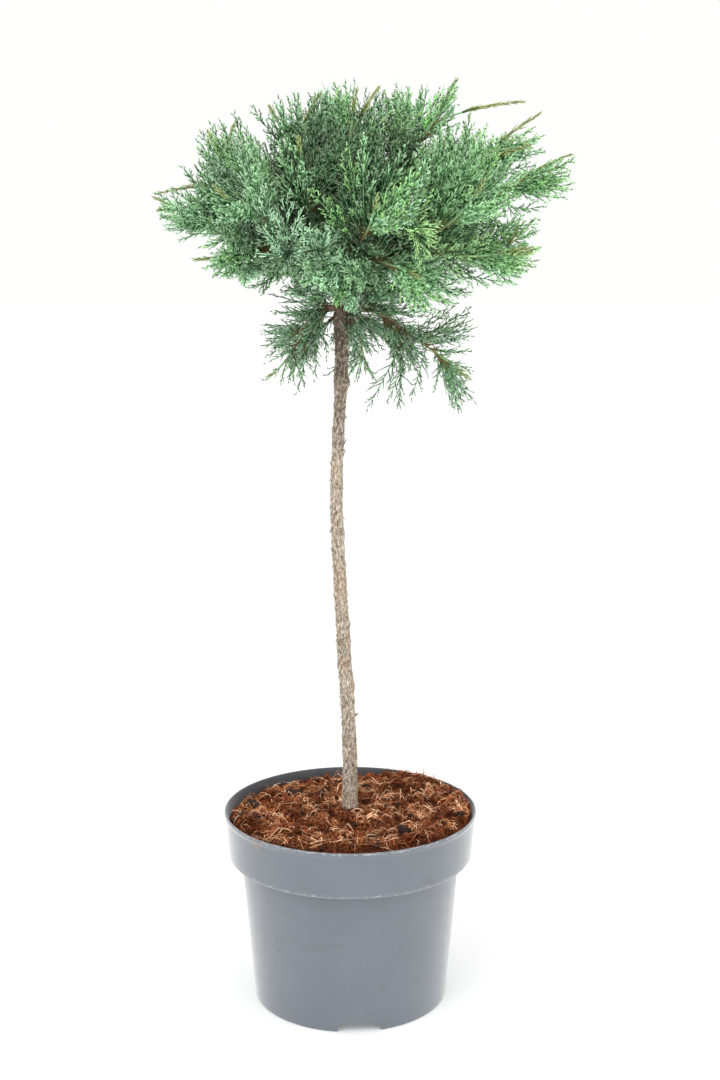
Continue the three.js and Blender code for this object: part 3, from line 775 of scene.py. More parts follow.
def in_space(points, own, spaces, limbs):
    """Whether each point is nearer its own stem than any other's by a margin, and clear of every limb. The
    second answer, for the finer growth, lets a point reach a little way in among other sprays."""
    away = distances(points, spaces)
    near = away[:, own].copy()
    away[:, own] = np.inf
    nearest = away.min(1)
    clear = clear_of_limbs(points, limbs)
    among = (nearest >= near - FILL_OVERLAP) & (nearest > STEM_MARGIN)
    return (nearest >= near + SPACE_MARGIN) & clear, among & clear


def in_crown(points, lowest, furthest):
    """Whether each point lies inside the crown's outline: within reach, under its domed top and above its
    rising underside, or for a hanging mass between its own two heights."""
    reach = np.hypot(points[..., 0], points[..., 1])
    height = points[..., 2]
    within = reach <= furthest + SIDE_OVERREACH
    if lowest:
        return within & (height > lowest) & (height < HANGING_TOP)
    tilt = CROWN_TILT * np.maximum(0, -points[..., 0])
    above = np.maximum(0, reach - CROWN_SHOULDER) / 100
    below = np.maximum(0, reach - UNDERSIDE_SHOULDER) / 100
    top = CROWN_TOP - CROWN_FALL * above**2 - tilt
    underside = CROWN_UNDERSIDE + UNDERSIDE_RISE * below**2 + tilt
    return within & (height > underside) & (height < top)


def spray_corners(twig, length):
    """The corners that a spray's outline is tested at, as (along, across) pairs."""
    width = length * SPRAY_SLIMNESS
    lower = [(twig + length * (x - 0.07), -width * y) for x, y in SPRAY_TEETH]
    upper = [(twig + length * x, width * y) for x, y in SPRAY_TEETH]
    return np.array([*lower, (twig + length, 0.0), *upper[::-1]])


def leaned(direction, angle, turn):
    """A direction leaned away from itself by an angle, to a side given as a turn round it."""
    helper = np.array([1.0, 0, 0]) if abs(direction[2]) > 0.9 else np.array([0, 0, 1.0])
    side = unit(np.cross(direction, helper))
    turn, angle = math.radians(turn), math.radians(angle)
    side = side * math.cos(turn) + np.cross(direction, side) * math.sin(turn)
    return direction * math.cos(angle) + side * math.sin(angle)


def twigs_tried(index, longest, curve, woody, tries, lifted=TWIGS_TRIED, droop=DROOP):
    """The source's twigs of one mass: they spiral round its stem, lean out more near its foot and always
    a little upwards. Of the finer ones after those, every second one droops. Each is its root, direction,
    bare length, spray length and face."""
    random = random_from(index + 1)
    tried = []
    for k in range(tries):
        share = woody * (TWIG_SPAN[0] + TWIG_SPAN[1] * ((k * GOLDEN_SHARE) % 1))
        lean = TWIG_LEAN - TWIG_LEAN_DROP * share + TWIG_LEAN_SPREAD * (next(random) - 0.5)
        way = leaned(tangent_on(curve, share), lean, GOLDEN_TURN * k + TWIG_TURN_SPREAD * next(random))
        way = unit(way + np.array([0, 0, TWIG_LIFT if k < lifted or k % 2 else -droop]))
        twig = longest * (TWIG_LENGTH[0] - TWIG_LENGTH[1] * share) * (0.8 + 0.4 * next(random))
        length = longest * (0.85 + 0.15 * next(random))
        face = np.array([next(random) - 0.5, next(random) - 0.5, 0.7 * (next(random) - 0.5)])
        tried.append((along_curve(curve, share), way, twig, length, face))
    return tried


# Columns of a table of sprays: root, direction, across, bare length and leafy length
ROOT, WAY, ACROSS, BARE, LEAFY = slice(0, 3), slice(3, 6), slice(6, 9), slice(9, 10), slice(10, 11)


def sprays_of(name, spaces, limbs, wanted):
    """The sprays of one mass as rows of root, direction, across, bare length, spray length: first those
    that the source keeps, then more of the same tries between them, smaller and closer together."""
    index = list(MASSES).index(name)
    _, _, _, reach, _, _, longest, _ = MASSES[name]
    curve, woody, _ = stem_of(name)
    droop = BOUGH_DROOP if name in LOWEST else DROOP
    tried = twigs_tried(index, longest, curve, woody, FILL_TRIES, droop=droop)
    across = [unit(np.cross(face, way)) for _, way, _, _, face in tried]
    fits = {}
    for size in FILL_SIZES:
        corners = []
        for (root, way, twig, length, _), side in zip(tried, across):
            flat = spray_corners(twig * size, length * size)
            corners.append(root + flat[:, :1] * way + flat[:, 1:] * side)
        corners = np.array(corners)
        inside = in_crown(corners, LOWEST.get(name), reach).reshape(-1)
        points = corners.reshape(-1, 3)
        own, among = inside.copy(), inside.copy()
        own[inside], among[inside] = in_space(points[inside], index, spaces, limbs)
        fits[size] = own.reshape(len(tried), -1).all(1), among.reshape(len(tried), -1).all(1)
    kept, middles, used = [], np.zeros((0, 3)), set()
    source = (0, tried[:TWIGS_TRIED], SPRAY_SIZES, SPRAY_SPACING, SPRAYS_KEPT)
    for finer, tries, sizes, spacing, limit in (source, (1, tried, FILL_SIZES, FILL_SPACING, wanted)):
        for number, (root, way, twig, length, _) in enumerate(tries):
            if len(kept) >= limit:
                break
            if number in used:
                continue
            for size in sizes:
                middle = root + way * (twig + length / 2) * size
                if fits[size][finer][number] and (np.linalg.norm(middles - middle, axis=1) > spacing).all():
                    kept.append((*root, *way, *across[number], twig * size, length * size))
                    middles = np.vstack([middles, middle])
                    used.add(number)
                    break
    return np.array(kept)


def bough_sprays(index, name, limbs):
    """Shorter sprays on a bough itself, by the same spiral, where they lie in the crown and clear of
    every limb."""
    curve = bough_curve(name)
    lowest = HANGING_TIP if name in LOWEST else None
    reach = HANGING_REACH if name in LOWEST else BOUGH_SPRAY_REACH
    kept = []
    tried = twigs_tried(BOUGH_SEED + index, BOUGH_SPRAY_LENGTH, curve, 1.0, BOUGH_TRIES, 0, BOUGH_DROOP)
    for root, way, twig, length, face in tried:
        side = unit(np.cross(face, way))
        for size in SPRAY_SIZES:
            flat = spray_corners(twig * size, length * size)
            corners = root + flat[:, :1] * way + flat[:, 1:] * side
            if in_crown(corners, lowest, reach).all() and clear_of_limbs(corners, limbs).all():
                kept.append((*root, *way, *side, twig * size, length * size))
                break
        if len(kept) == (HANGING_BOUGH_SPRAYS if name in LOWEST else BOUGH_SPRAYS):
            break
    return np.array(kept).reshape(-1, 11)


def deal_colours(middles, colours, random):
    """One of the plain base colours for each spray, in a random shade: old ones, whose colour is darker too
    as painted shade, inside the crown and round its hollow, fresh ones high on the right. Every spray is
    darkened as painted shade the further inside the crown it lies."""
    inner = np.linalg.norm((middles - CROWN_MIDDLE) / CROWN_HALF_SIZE, axis=1)
    right = smoothstep(middles[:, 0] + 0.6 * (middles[:, 2] - CROWN_MIDDLE[2]), -40, 120)
    chance = random.random(len(middles))
    chosen = np.array([colours["sea_green"]] * len(middles))
    chosen[chance < 0.42 - 0.3 * right] = colours["blue_green"]
    chosen[chance > 0.9 - 0.3 * right] = colours["leaf_green"]
    chosen[chance > 0.985 - 0.14 * right] = colours["fresh"]
    # Sprays round the hollow and in the crown's middle get the old colour, partly painted shade
    hollow_radius = HOLLOW_RADIUS * random.uniform(0.7, 1.2, len(middles))
    hollow = np.linalg.norm(middles - HOLLOW, axis=1) < hollow_radius
    chosen[hollow | (inner < 0.42 + 0.2 * random.random(len(middles)))] = colours["deep"]
    # Painted shade: sprays are darker the further inside the crown they lie
    outer = 0.5 + 0.86 * smoothstep(inner, 0.45, 0.92)
    return chosen * (outer * random.uniform(0.8, 1.2, len(middles)))[:, None]


def steps_for(count, limit):
    """A row of the steps from 0 up to a limit, which of them each count takes, and each taken one's owner
    and number."""
    step = np.arange(limit)[None]
    wanted = step < count[:, None]
    return step, wanted, *np.nonzero(wanted)


def shoots_from(base, way, final, size):
    """Curves that leave each base one way for half their size and end another way for the other half."""
    half = 0.5 * size[:, None]
    control = base + half * way
    return np.stack([base, control, control + half * final], 1)


def branchlets(axis, first, length, across, random, limit=30):
    """The branchlets of many sprays. They stand on the axis curves at even steps, turn round them by the
    golden angle, flattened across the spray, leave at 58 degrees near the foot and 30 near the tip, and
    bend forwards. Returns their curves, lengths and the number of the spray that each belongs to."""
    count = np.clip((length / BRANCHLET_SPACING).astype(int), 5, limit)
    step, wanted, owner, number = steps_for(count, limit)
    share = ((step + 0.5 + 0.6 * (random.random(wanted.shape) - 0.5)) / count[:, None])[wanted]
    place = first[owner] + (1 - first[owner]) * share
    base = along_curve(axis[owner], place)
    onward = tangent_on(axis[owner], place)
    side = unit(across[owner] - onward * (across[owner] * onward).sum(-1, keepdims=True))
    out = np.cross(onward, side)
    turn = np.radians(GOLDEN_TURN) * number + random.uniform(-0.5, 0.5, len(owner))
    spread = random.uniform(-BRANCHLET_ANGLE_SPREAD, BRANCHLET_ANGLE_SPREAD, len(owner))
    angle = np.radians(BRANCHLET_ANGLE - BRANCHLET_ANGLE_DROP * share + spread)[:, None]
    sideways = np.cos(turn)[:, None] * side + SPRAY_FLATNESS * np.sin(turn)[:, None] * out
    way = unit(np.cos(angle) * onward + np.sin(angle) * sideways)
    swell = (1 - share) ** 0.7 * (0.5 + 0.5 * np.minimum(1, share / 0.22)) + 0.1
    reach = SPRAY_HALF_WIDTH * length[owner] * swell * random.uniform(0.6, 1.3, len(owner))
    final = unit(0.45 * way + 0.55 * onward + np.array([0, 0, 0.12]))
    return shoots_from(base, way, final, reach), reach, owner


def side_shoots(curves, reach, onward, random, limit=8):
    """The short scaly shoots on branchlets: they stand alternately on both sides in steps, at about 38
    degrees, and are shorter towards the branchlet's tip."""
    count = np.clip((reach / SHOOT_SPACING).astype(int), 1, limit)
    step, wanted, owner, number = steps_for(count, limit)
    share = (0.16 + 0.8 * (step + 0.8 * random.random(wanted.shape)) / count[:, None])[wanted]
    base = along_curve(curves[owner], share)
    along = tangent_on(curves[owner], share)
    plane = unit(np.cross(along, onward[owner]) + 0.55 * random.normal(size=(len(owner), 3)))
    side = unit(np.cross(plane, along)) * np.where(number % 2, 1.0, -1.0)[:, None]
    angle = np.radians(random.uniform(*SHOOT_ANGLES, len(owner)))[:, None]
    way = unit(np.cos(angle) * along + np.sin(angle) * side)
    size = np.clip(reach[owner] * 0.5 * (1 - share) ** 0.5, *SHOOT_SIZES)
    size = size * random.uniform(0.7, 1.25, len(owner))
    final = unit(way + 0.7 * along + np.array([0, 0, 0.1]))
    return shoots_from(base, way, final, size), owner


def scaly(curves, rows, radius, girths, colours):
    """Three-sided shoots along many curves, with their colour and the share along. Their radius is the
    given one times a girth that goes in a straight line from the foot's to the tip's."""
    shares = np.broadcast_to(np.array(rows), (len(curves), len(rows)))
    lines = along_curve(curves, shares)
    foot, tip = (radius * girth for girth in girths)
    radii = foot + (tip - foot) * shares[:, :-1]
    return tubes(lines, radii, 3, {"spray_colour": colours}, {"tip": shares})


def spindles(curves, radius, colours):
    """Short shoots as closed spindles: the foot and tip of each curve, and between them three corners
    round its point at just over half way, each at radius (cos a side + sin a other)."""
    count = len(curves)
    shares = np.array([0, 0.55, 0.55, 0.55, 1.0])
    middle = along_curve(curves, np.full(count, shares[1]))
    side, other = (sides[:, None] for sides in sides_of(tangent_on(curves, np.full(count, shares[1]))))
    angles = round_steps(3)[:, None]
    ring = middle[:, None] + radius * (np.cos(angles) * side + np.sin(angles) * other)
    points = np.concatenate([curves[:, :1], ring, curves[:, 2:]], 1).reshape(-1, 3)
    face = np.array([(0, 2, 1), (0, 3, 2), (0, 1, 3), (1, 2, 4), (2, 3, 4), (3, 1, 4)])
    faces = repeated([face], count, len(shares))
    return points, faces, {"spray_colour": np.repeat(colours, len(shares), 0), "tip": np.tile(shares, count)}


def shoot_curve(mass, at, bearing, reach, height):
    """A long new shoot from a share of a mass's stem to its own tip, leaving along the stem."""
    curve, _, _ = stem_of(mass)
    start = along_curve(curve, at)
    end = around(bearing, reach, height)
    distance = np.linalg.norm(end - start)
    way = unit(SHOOT_BEND * tangent_on(curve, at) + unit(end - start))
    return np.array([start, start + 0.45 * distance * way, end])


class Crown:
    """The grown crown: for each mass its sprays, and their axes as curves."""

    def __init__(self, wanted):
        self.axes = {}
        self.stems = {name: stem_of(name) for name in MASSES}
        shares = np.arange(LIMB_STEPS + 1) / LIMB_STEPS
        spaces = np.array([along_curve(curve, shares) for curve, _, _ in self.stems.values()])
        trunk = trunk_line(np.arange(TRUNK_STEPS + 1) / TRUNK_STEPS)[None]
        boughs = np.array([along_curve(bough_curve(name), shares) for name in BOUGHS])
        self.limbs = [(trunk, trunk_radius(GRAFT_HEIGHT)), (boughs, BOUGH_FOOT_RADIUS)]
        self.sprays = {}
        for name in MASSES:
            share = HANGING_SHARE if name in LOWEST else 1.0
            self.sprays[name] = sprays_of(name, spaces, self.limbs, int(wanted * share))
        for index, name in enumerate(BOUGHS):
            grown = bough_sprays(index, name, self.limbs)
            self.sprays[name] = np.vstack([self.sprays[name], grown])
        for name in MASSES:
            self.axes[name] = self.axis_curves(name)
            self.plumes(name)

    def axis_curves(self, name):
        """Each spray's axis curve: it leaves along the spray's direction, and its tip lifts a little."""
        sprays = self.sprays[name]
        root, way, whole = sprays[:, ROOT], sprays[:, WAY], sprays[:, BARE] + sprays[:, LEAFY]
        lift = np.array([0, 0, AXIS_LIFT]) * whole
        return np.stack([root, root + 0.55 * whole * way - 0.5 * lift, root + whole * way + lift], 1)

    def plumes(self, name):
        """Adds the large single plumes of a mass after its other sprays."""
        stem, _, _ = self.stems[name]
        for mass, at, knee, tip, bare, _ in PLUMES:
            if mass == name:
                axis = np.array([along_curve(stem, at), knee, tip])
                whole = np.linalg.norm(axis[1] - axis[0]) + np.linalg.norm(axis[2] - axis[1])
                way = unit(axis[2] - axis[1])
                across = unit(np.cross(way, np.array([0.2, -1.0, 0.1])))
                row = np.array([[*axis[0], *way, *across, bare * whole, (1 - bare) * whole]])
                self.sprays[name] = np.vstack([self.sprays[name], row])
                self.axes[name] = np.concatenate([self.axes[name], axis[None]])


GROWN = {}


def crown():
    """The crown, grown once for the operators that share it."""
    wanted = bpy.context.scene.juniper_sprays.sprays
    if wanted not in GROWN:
        GROWN[wanted] = Crown(wanted)
    return GROWN[wanted]


# Materials


class Nodes:
    """A material's nodes, added and linked in one line each."""

    def __init__(self, name):
        self.material = bpy.data.materials.new(name)
        self.material.use_nodes = True
        self.tree = self.material.node_tree
        self.shader = self.tree.nodes["Principled BSDF"]

    def add(self, kind, inputs=None, **settings):
        """One node with its settings, and its inputs set to a value or linked to another node's output."""
        node = self.tree.nodes.new(kind)
        for key, value in settings.items():
            setattr(node, key, value)
        for key, value in (inputs or {}).items():
            self.put(node.inputs[key], value)
        return node

    def put(self, socket, value):
        if isinstance(value, bpy.types.NodeSocket):
            self.tree.links.new(value, socket)
        elif hasattr(value, "__len__") and len(value) == 3 and socket.type == "RGBA":
            socket.default_value = (*value, 1)
        else:
            socket.default_value = value

    def place(self):
        """The point in the object's own coordinates."""
        return self.add("ShaderNodeTexCoord").outputs["Object"]

    def noise(self, scale, detail=3.0, roughness=0.5):
        """Noise from 0 to 1, with one scale or, where it is stretched, one for each axis."""
        vector = self.place()
        if isinstance(scale, tuple):
            vector = self.add("ShaderNodeMapping", {"Vector": vector, "Scale": scale}).outputs["Vector"]
            scale = 1
        inputs = {"Vector": vector, "Scale": scale, "Detail": detail, "Roughness": roughness}
        return self.add("ShaderNodeTexNoise", inputs).outputs["Fac"]

    def ramp(self, value, low, high, to_low=0.0, to_high=1.0):
        """A value mapped from one range to another and kept inside it."""
        inputs = {"Value": value, "From Min": low, "From Max": high, "To Min": to_low, "To Max": to_high}
        return self.add("ShaderNodeMapRange", inputs).outputs["Result"]

    def attribute(self, name, output="Fac"):
        return self.add("ShaderNodeAttribute", attribute_name=name).outputs[output]

    def mixed(self, share, first, second):
        """Two colours mixed by a share."""
        node = self.add("ShaderNodeMix", data_type="RGBA")
        self.put(node.inputs[0], share)
        self.put(node.inputs[6], first)
        self.put(node.inputs[7], second)
        return node.outputs[2]

    def math(self, operation, first, second):
        node = self.add("ShaderNodeMath", {0: first, 1: second}, operation=operation)
        return node.outputs[0]

    def over(self, base, colour, share, strength):
        """A colour laid over a base by a share times a strength."""
        return self.mixed(self.math("MULTIPLY", share, strength), base, colour)

    def shaded(self, colour, value):
        """A colour made lighter or darker by a value."""
        inputs = {"Color": colour, "Value": value}
        return self.add("ShaderNodeHueSaturation", inputs).outputs["Color"]

    def bumped(self, height, distance, strength=1.0):
        """Sets fine relief from a height field, with its full depth in metres."""
        node = self.add("ShaderNodeBump", {"Height": height, "Distance": distance, "Strength": strength})
        self.tree.links.new(node.outputs["Normal"], self.shader.inputs["Normal"])

    def finish(self, colour, roughness, **sockets):
        self.put(self.shader.inputs["Base Color"], colour)
        self.put(self.shader.inputs["Roughness"], roughness)
        for key, value in sockets.items():
            self.put(self.shader.inputs[key.replace("_", " ")], value)
        return self.material


def plastic_material(values):
    """Grey moulded plastic: faint clouding, fine pits, whitened scuffs on its edges with a painted highlight
    along the rim, faint dark marks, and painted shade on the inner wall.
    """
    nodes = Nodes("moulded_plastic")
    cloud = nodes.ramp(nodes.noise(22, 4), 0.3, 0.7, 0.94, 1.05)
    base = nodes.shaded(values.plastic, cloud)
    streaks = nodes.noise((220, 220, 900), 6, 0.78)
    # The edge mask whitens real scuffs at the band's foot and, along the rim, scuffs with a painted
    # highlight
    edge = nodes.attribute("edge")
    scuffs_and_rim_highlight = nodes.ramp(nodes.math("MULTIPLY", edge, nodes.ramp(streaks, 0.47, 0.6)), 0.3, 0.75)
    base = nodes.over(base, values.scuff_and_highlight, scuffs_and_rim_highlight, 0.7)
    specks = nodes.ramp(nodes.noise(520, 2, 0.6), 0.735, 0.76)
    base = nodes.over(base, values.scuff_and_highlight, specks, 0.5)
    marks = nodes.ramp(nodes.noise((30, 30, 50), 6, 0.7), 0.57, 0.72)
    base = nodes.over(base, values.grime, marks, 0.6)
    dots = nodes.ramp(nodes.noise(300, 1, 0.5), 0.79, 0.81)
    base = nodes.over(base, tone(58, 58, 58), dots, 0.7)
    # Painted shade: the pot's inner wall is darkened
    base = nodes.over(base, tone(66, 71, 76), nodes.attribute("inside"), 0.75)
    roughness = nodes.ramp(nodes.noise(90, 4), 0.3, 0.7, 0.3, 0.42)
    nodes.bumped(nodes.noise(1500, 3), 0.00005, 0.4)
    gloss = {"Specular_IOR_Level": 0.7, "Coat_Weight": 0.5, "Coat_Roughness": 0.34}
    return nodes.finish(base, roughness, Sheen_Weight=1.0, Sheen_Roughness=0.34, **gloss)


def mix_material(values):
    """Damp coir and bark: dark crevices and reddish crumbs in several sizes."""
    nodes = Nodes("coir_mix")
    coarse = nodes.ramp(nodes.noise(130, 5, 0.7), 0.36, 0.66)
    base = nodes.mixed(coarse, values.crevice, values.rust_fibre)
    crumbs = nodes.ramp(nodes.noise(700, 3, 0.6), 0.5, 0.68)
    base = nodes.over(base, values.coir, crumbs, 0.4)
    nodes.bumped(nodes.noise(600, 6, 0.7), 0.0016)
    return nodes.finish(base, 0.95, Specular_IOR_Level=0.15)


def fibre_material():
    """Dry coir fibre in the colour dealt to it, which holds painted shade, streaked along."""
    nodes = Nodes("coir_fibre")
    dealt = nodes.attribute("fibre_colour", "Color")
    shade = nodes.ramp(nodes.noise(420, 3), 0.3, 0.7, 0.66, 1.28)
    return nodes.finish(nodes.shaded(dealt, shade), 0.85, Specular_IOR_Level=0.1)


def chunk_material():
    """Bark chunks in the colour dealt to them, with grain."""
    nodes = Nodes("bark_chunk")
    dealt = nodes.attribute("fibre_colour", "Color")
    grain = nodes.noise((900, 300, 900), 4, 0.6)
    shade = nodes.ramp(grain, 0.3, 0.7, 0.6, 1.4)
    nodes.bumped(grain, 0.0006)
    return nodes.finish(nodes.shaded(dealt, shade), 0.9, Specular_IOR_Level=0.2)


def bark_material(values):
    """Flaking bark: pale plates over brown fissures, pale and dark specks, and browner near the graft."""
    nodes = Nodes("flaking_bark")
    height = nodes.add("ShaderNodeSeparateXYZ", {"Vector": nodes.place()}).outputs["Z"]
    fine = nodes.noise((1200, 1200, 420), 6, 0.72)
    plate = nodes.math("ADD", nodes.attribute("plate"), nodes.ramp(fine, 0.34, 0.66, -0.6, 0.6))
    base = nodes.mixed(nodes.ramp(plate, -0.25, 1.05), values.fissure, values.flake)
    warm = nodes.ramp(nodes.noise(60, 3), 0.45, 0.7)
    base = nodes.over(base, tone(172, 132, 98), warm, 0.35)
    lower, higher = nodes.ramp(height, 0.46, 0.52, 0.0, 0.45), nodes.ramp(height, 0.53, 0.58, 0.0, 0.55)
    browning = nodes.math("ADD", lower, higher)
    brown = nodes.math("MULTIPLY", browning, nodes.ramp(fine, 0.25, 0.6, 1.0, 0.66))
    dark = nodes.shaded(values.upper, 0.3)
    rough = nodes.mixed(nodes.ramp(plate, 0.3, 1.05), dark, nodes.shaded(values.upper, 1.8))
    base = nodes.mixed(brown, base, rough)
    speckled = nodes.noise((520, 520, 300), 4, 0.7)
    pale_strength = nodes.ramp(brown, 0.0, 1.0, 0.75, 0.4)
    base = nodes.over(base, tone(236, 229, 214), nodes.ramp(speckled, 0.45, 0.38), pale_strength)
    base = nodes.over(base, tone(86, 68, 54), nodes.ramp(speckled, 0.55, 0.63), 0.8)
    base = nodes.shaded(base, nodes.ramp(nodes.noise(38, 3), 0.3, 0.7, 0.88, 1.12))
    nodes.bumped(fine, 0.0005)
    return nodes.finish(base, 0.88)


def young_bark_material(values):
    """Smooth brown bark with fine lengthwise cracks and paler patches."""
    nodes = Nodes("young_bark")
    fine = nodes.noise(520, 5, 0.65)
    base = nodes.mixed(nodes.ramp(fine, 0.35, 0.68), values.fissure, values.young)
    pale = nodes.ramp(nodes.noise(150, 3), 0.55, 0.72)
    base = nodes.over(base, tone(170, 130, 110), pale, 0.5)
    nodes.bumped(fine, 0.0004)
    return nodes.finish(base, 0.8)


def twig_material(values, young):
    """Twigs that turn from brown bark at their foot to green scales at their tip."""
    nodes = Nodes("twig_bark")
    fine = nodes.noise(900, 3, 0.6)
    brown = nodes.shaded(young, nodes.ramp(fine, 0.3, 0.7, 0.75, 1.3))
    greening = nodes.attribute("greening")
    tan = nodes.mixed(nodes.ramp(greening, 0.06, 0.34), brown, tone(138, 130, 78))
    base = nodes.mixed(nodes.ramp(greening, 0.34, 0.62), tan, values.sea_green)
    nodes.bumped(fine, 0.0003)
    return nodes.finish(base, 0.75, Specular_IOR_Level=0.2)


def spray_material():
    """Scale leaves in the base colour dealt to each spray, darkened and greened towards each shoot's foot as
    painted shade, with bloom in patches and tips lightened as young growth and as a painted highlight.
    """
    nodes = Nodes("scale_leaves")
    dealt = nodes.attribute("spray_colour", "Color")
    shade = nodes.ramp(nodes.noise(240, 3), 0.3, 0.7, 0.78, 1.22)
    tip = nodes.attribute("tip")
    # Painted shade towards each shoot's foot, and lighter tips, partly young growth and partly painted
    # highlight
    base = nodes.shaded(dealt, nodes.math("MULTIPLY", shade, nodes.ramp(tip, 0.0, 0.66, 0.16, 1.36)))
    # Painted shade: a dark green laid over each shoot's foot
    base = nodes.mixed(nodes.ramp(tip, 0.55, 0.0, 0.0, 0.7), base, tone(22, 78, 42))
    # Pale young colour at the tips, partly a painted highlight
    base = nodes.mixed(nodes.ramp(tip, 0.4, 1.0, 0.0, 0.56), base, tone(214, 232, 192))
    bloom = nodes.ramp(nodes.noise(900, 2), 0.5, 0.7)
    base = nodes.over(base, tone(182, 216, 190), bloom, 0.24)
    nodes.bumped(nodes.noise(1700, 2), 0.0004)
    return nodes.finish(base, 0.62, Specular_IOR_Level=0.07)


# Operators


class JUNIPER_OT_studio(Operator):
    """A wide pale floor, light from all around, two large soft lights and the photograph's camera"""

    bl_idname = "juniper.studio"
    bl_label = "Studio"

    def execute(self, context):
        scene = context.scene
        values = scene.juniper_studio
        rings = turned(np.array(FLOOR_RINGS)[:, None], round_steps(FLOOR_COLUMNS), 0)
        points = np.vstack([rings.reshape(-1, 3), [0, 0, 0]])
        faces = [grid_faces(*rings.shape[:2])[:, ::-1], fan_faces(FLOOR_COLUMNS, len(points) - 1)]
        nodes = Nodes("pale_floor")
        shade = nodes.ramp(nodes.noise(3, 2), 0.3, 0.7, 0.99, 1.0)
        glow = {"Emission_Color": WHITE, "Emission_Strength": values.glow}
        material = nodes.finish(nodes.shaded(values.floor, shade), 0.9, **glow)
        surface("floor", [(points, faces, {})], material)
        world = bpy.data.worlds.new("studio_air")
        world.use_nodes = True
        background = world.node_tree.nodes["Background"].inputs
        background["Color"].default_value = (*WHITE, 1)
        background["Strength"].default_value = values.air
        scene.world = world
        for name, (place, target, size, share) in LIGHTS.items():
            light = bpy.data.lights.new(name, "AREA")
            light.size = size
            light.energy = values.key * share
            aim = np.array(target) - np.array(place)
            tilt = math.atan2(math.hypot(aim[0], aim[1]), -aim[2])
            self.placed(scene, light, place, (tilt, 0, math.atan2(aim[0], -aim[1]) + math.pi))
        camera = bpy.data.cameras.new("photograph_camera")
        camera.lens = LENS
        camera.sensor_width = SENSOR_WIDTH
        camera.clip_end = FURTHEST_SEEN
        scene.camera = self.placed(scene, camera, CAMERA_PLACE, (math.radians(90 - CAMERA_TILT), 0, 0))
        scene.view_settings.view_transform = "Standard"
        return {"FINISHED"}

    def placed(self, scene, data, place, turn):
        """A light or camera in the scene at its place and turn."""
        thing = bpy.data.objects.new(data.name, data)
        thing.location = place
        thing.rotation_euler = turn
        scene.collection.objects.link(thing)
        return thing


def foot_gap_height(points_x, points_y):
    """How high the foot ring's gaps reach at each point: the gap's full height inside its top width,
    falling in a straight slope to nothing at its bottom width."""
    bearing = np.degrees(np.arctan2(points_y, points_x))
    off = (bearing - FOOT_GAP_TURN + 180 / FOOT_GAPS) % (360 / FOOT_GAPS) - 180 / FOOT_GAPS
    aside = np.abs(np.hypot(points_x, points_y) * np.sin(np.radians(off)))
    slope = (FOOT_GAP_WIDTH / 2 - aside) / (FOOT_GAP_WIDTH / 2 - FOOT_GAP_TOP_WIDTH / 2)
    return FOOT_GAP_HEIGHT * np.clip(slope, 0, 1)


def pot_profile():
    """The corners of the pot's profile as reach and height, from the middle of its underside round its rim
    to the middle of its inner floor."""
    channel_top = CHANNEL_HEIGHT + FLOOR_THICKNESS
    outside = [
        (0, 0),
        (CENTRE_PAD_RADIUS, 0),
        (CHANNEL_INNER_RADIUS, CHANNEL_HEIGHT),
        (CHANNEL_OUTER_RADIUS, CHANNEL_HEIGHT),
        (CHANNEL_OUTER_RADIUS + FOOT_RING_SLOPE, 0),
        (FOOT_RADIUS, 0),
        (NECK_RADIUS, BAND_FOOT - NECK_DEPTH),
        (NECK_RADIUS + NECK_STEP[0], BAND_FOOT - NECK_STEP[1]),
        (BAND_FOOT_RADIUS, BAND_FOOT),
        (RIM_RADIUS - LIP_OVERHANG - LIP_LEAN, POT_HEIGHT - 2 * LIP_HEIGHT),
        (RIM_RADIUS, POT_HEIGHT - LIP_HEIGHT),
        (RIM_RADIUS - LIP_EASE, POT_HEIGHT),
        (RIM_RADIUS - WALL, POT_HEIGHT),
    ]
    inside = [
        (BAND_FOOT_RADIUS - WALL, BAND_FOOT + NECK_DEPTH),
        (NECK_RADIUS - WALL, BAND_FOOT),
        (FOOT_RADIUS - WALL, channel_top + 1),
        (CHANNEL_INNER_RADIUS - FLOOR_THICKNESS, channel_top),
        (CENTRE_PAD_RADIUS - FLOOR_THICKNESS, FLOOR_THICKNESS),
        (0, FLOOR_THICKNESS),
    ]
    return outside + inside


def only_used(points, faces, attributes):
    """A part of a mesh without the points that no face uses."""
    used, place = np.unique(np.concatenate([face.ravel() for face in faces]), return_inverse=True)
    ends = np.cumsum([face.size for face in faces])[:-1]
    faces = [part.reshape(face.shape) for part, face in zip(np.split(place.ravel(), ends), faces)]
    return points[used], faces, {key: values[used] for key, values in attributes.items()}


def drain_rows(profile):
    """The profile with its points across the channel's roof, outside and inside, replaced by rows that the
    drain holes follow, and for each of the two the numbers of the rows at a hole's near and far side."""
    across = DRAIN_REACH + DRAIN_RADIUS * np.array([-DRAIN_SPAN, -1, -0.5, 0, 0.5, 1, DRAIN_SPAN])
    off = np.abs(profile[:, 0] - DRAIN_REACH)
    in_roof = (off < DRAIN_SPAN * DRAIN_RADIUS + 0.05) & (profile[:, 1] < CHANNEL_HEIGHT + DRAIN_DEPTH)
    near = np.flatnonzero(in_roof)
    runs = np.split(near, np.flatnonzero(np.diff(near) > 1) + 1)
    found = []
    for run in runs[::-1]:
        before, after = profile[run[0] - 1], profile[run[-1] + 1]
        reaches = across if after[0] > before[0] else across[::-1]
        share = ((reaches - before[0]) / (after[0] - before[0]))[:, None]
        profile = np.vstack([profile[: run[0]], before + share * (after - before), profile[run[-1] + 1 :]])
        found.append((run[0], len(reaches) - len(run)))
    (inner, _), (outer, grown) = found
    return profile, ((outer + 1, outer + 5), (inner + grown + 5, inner + grown + 1))


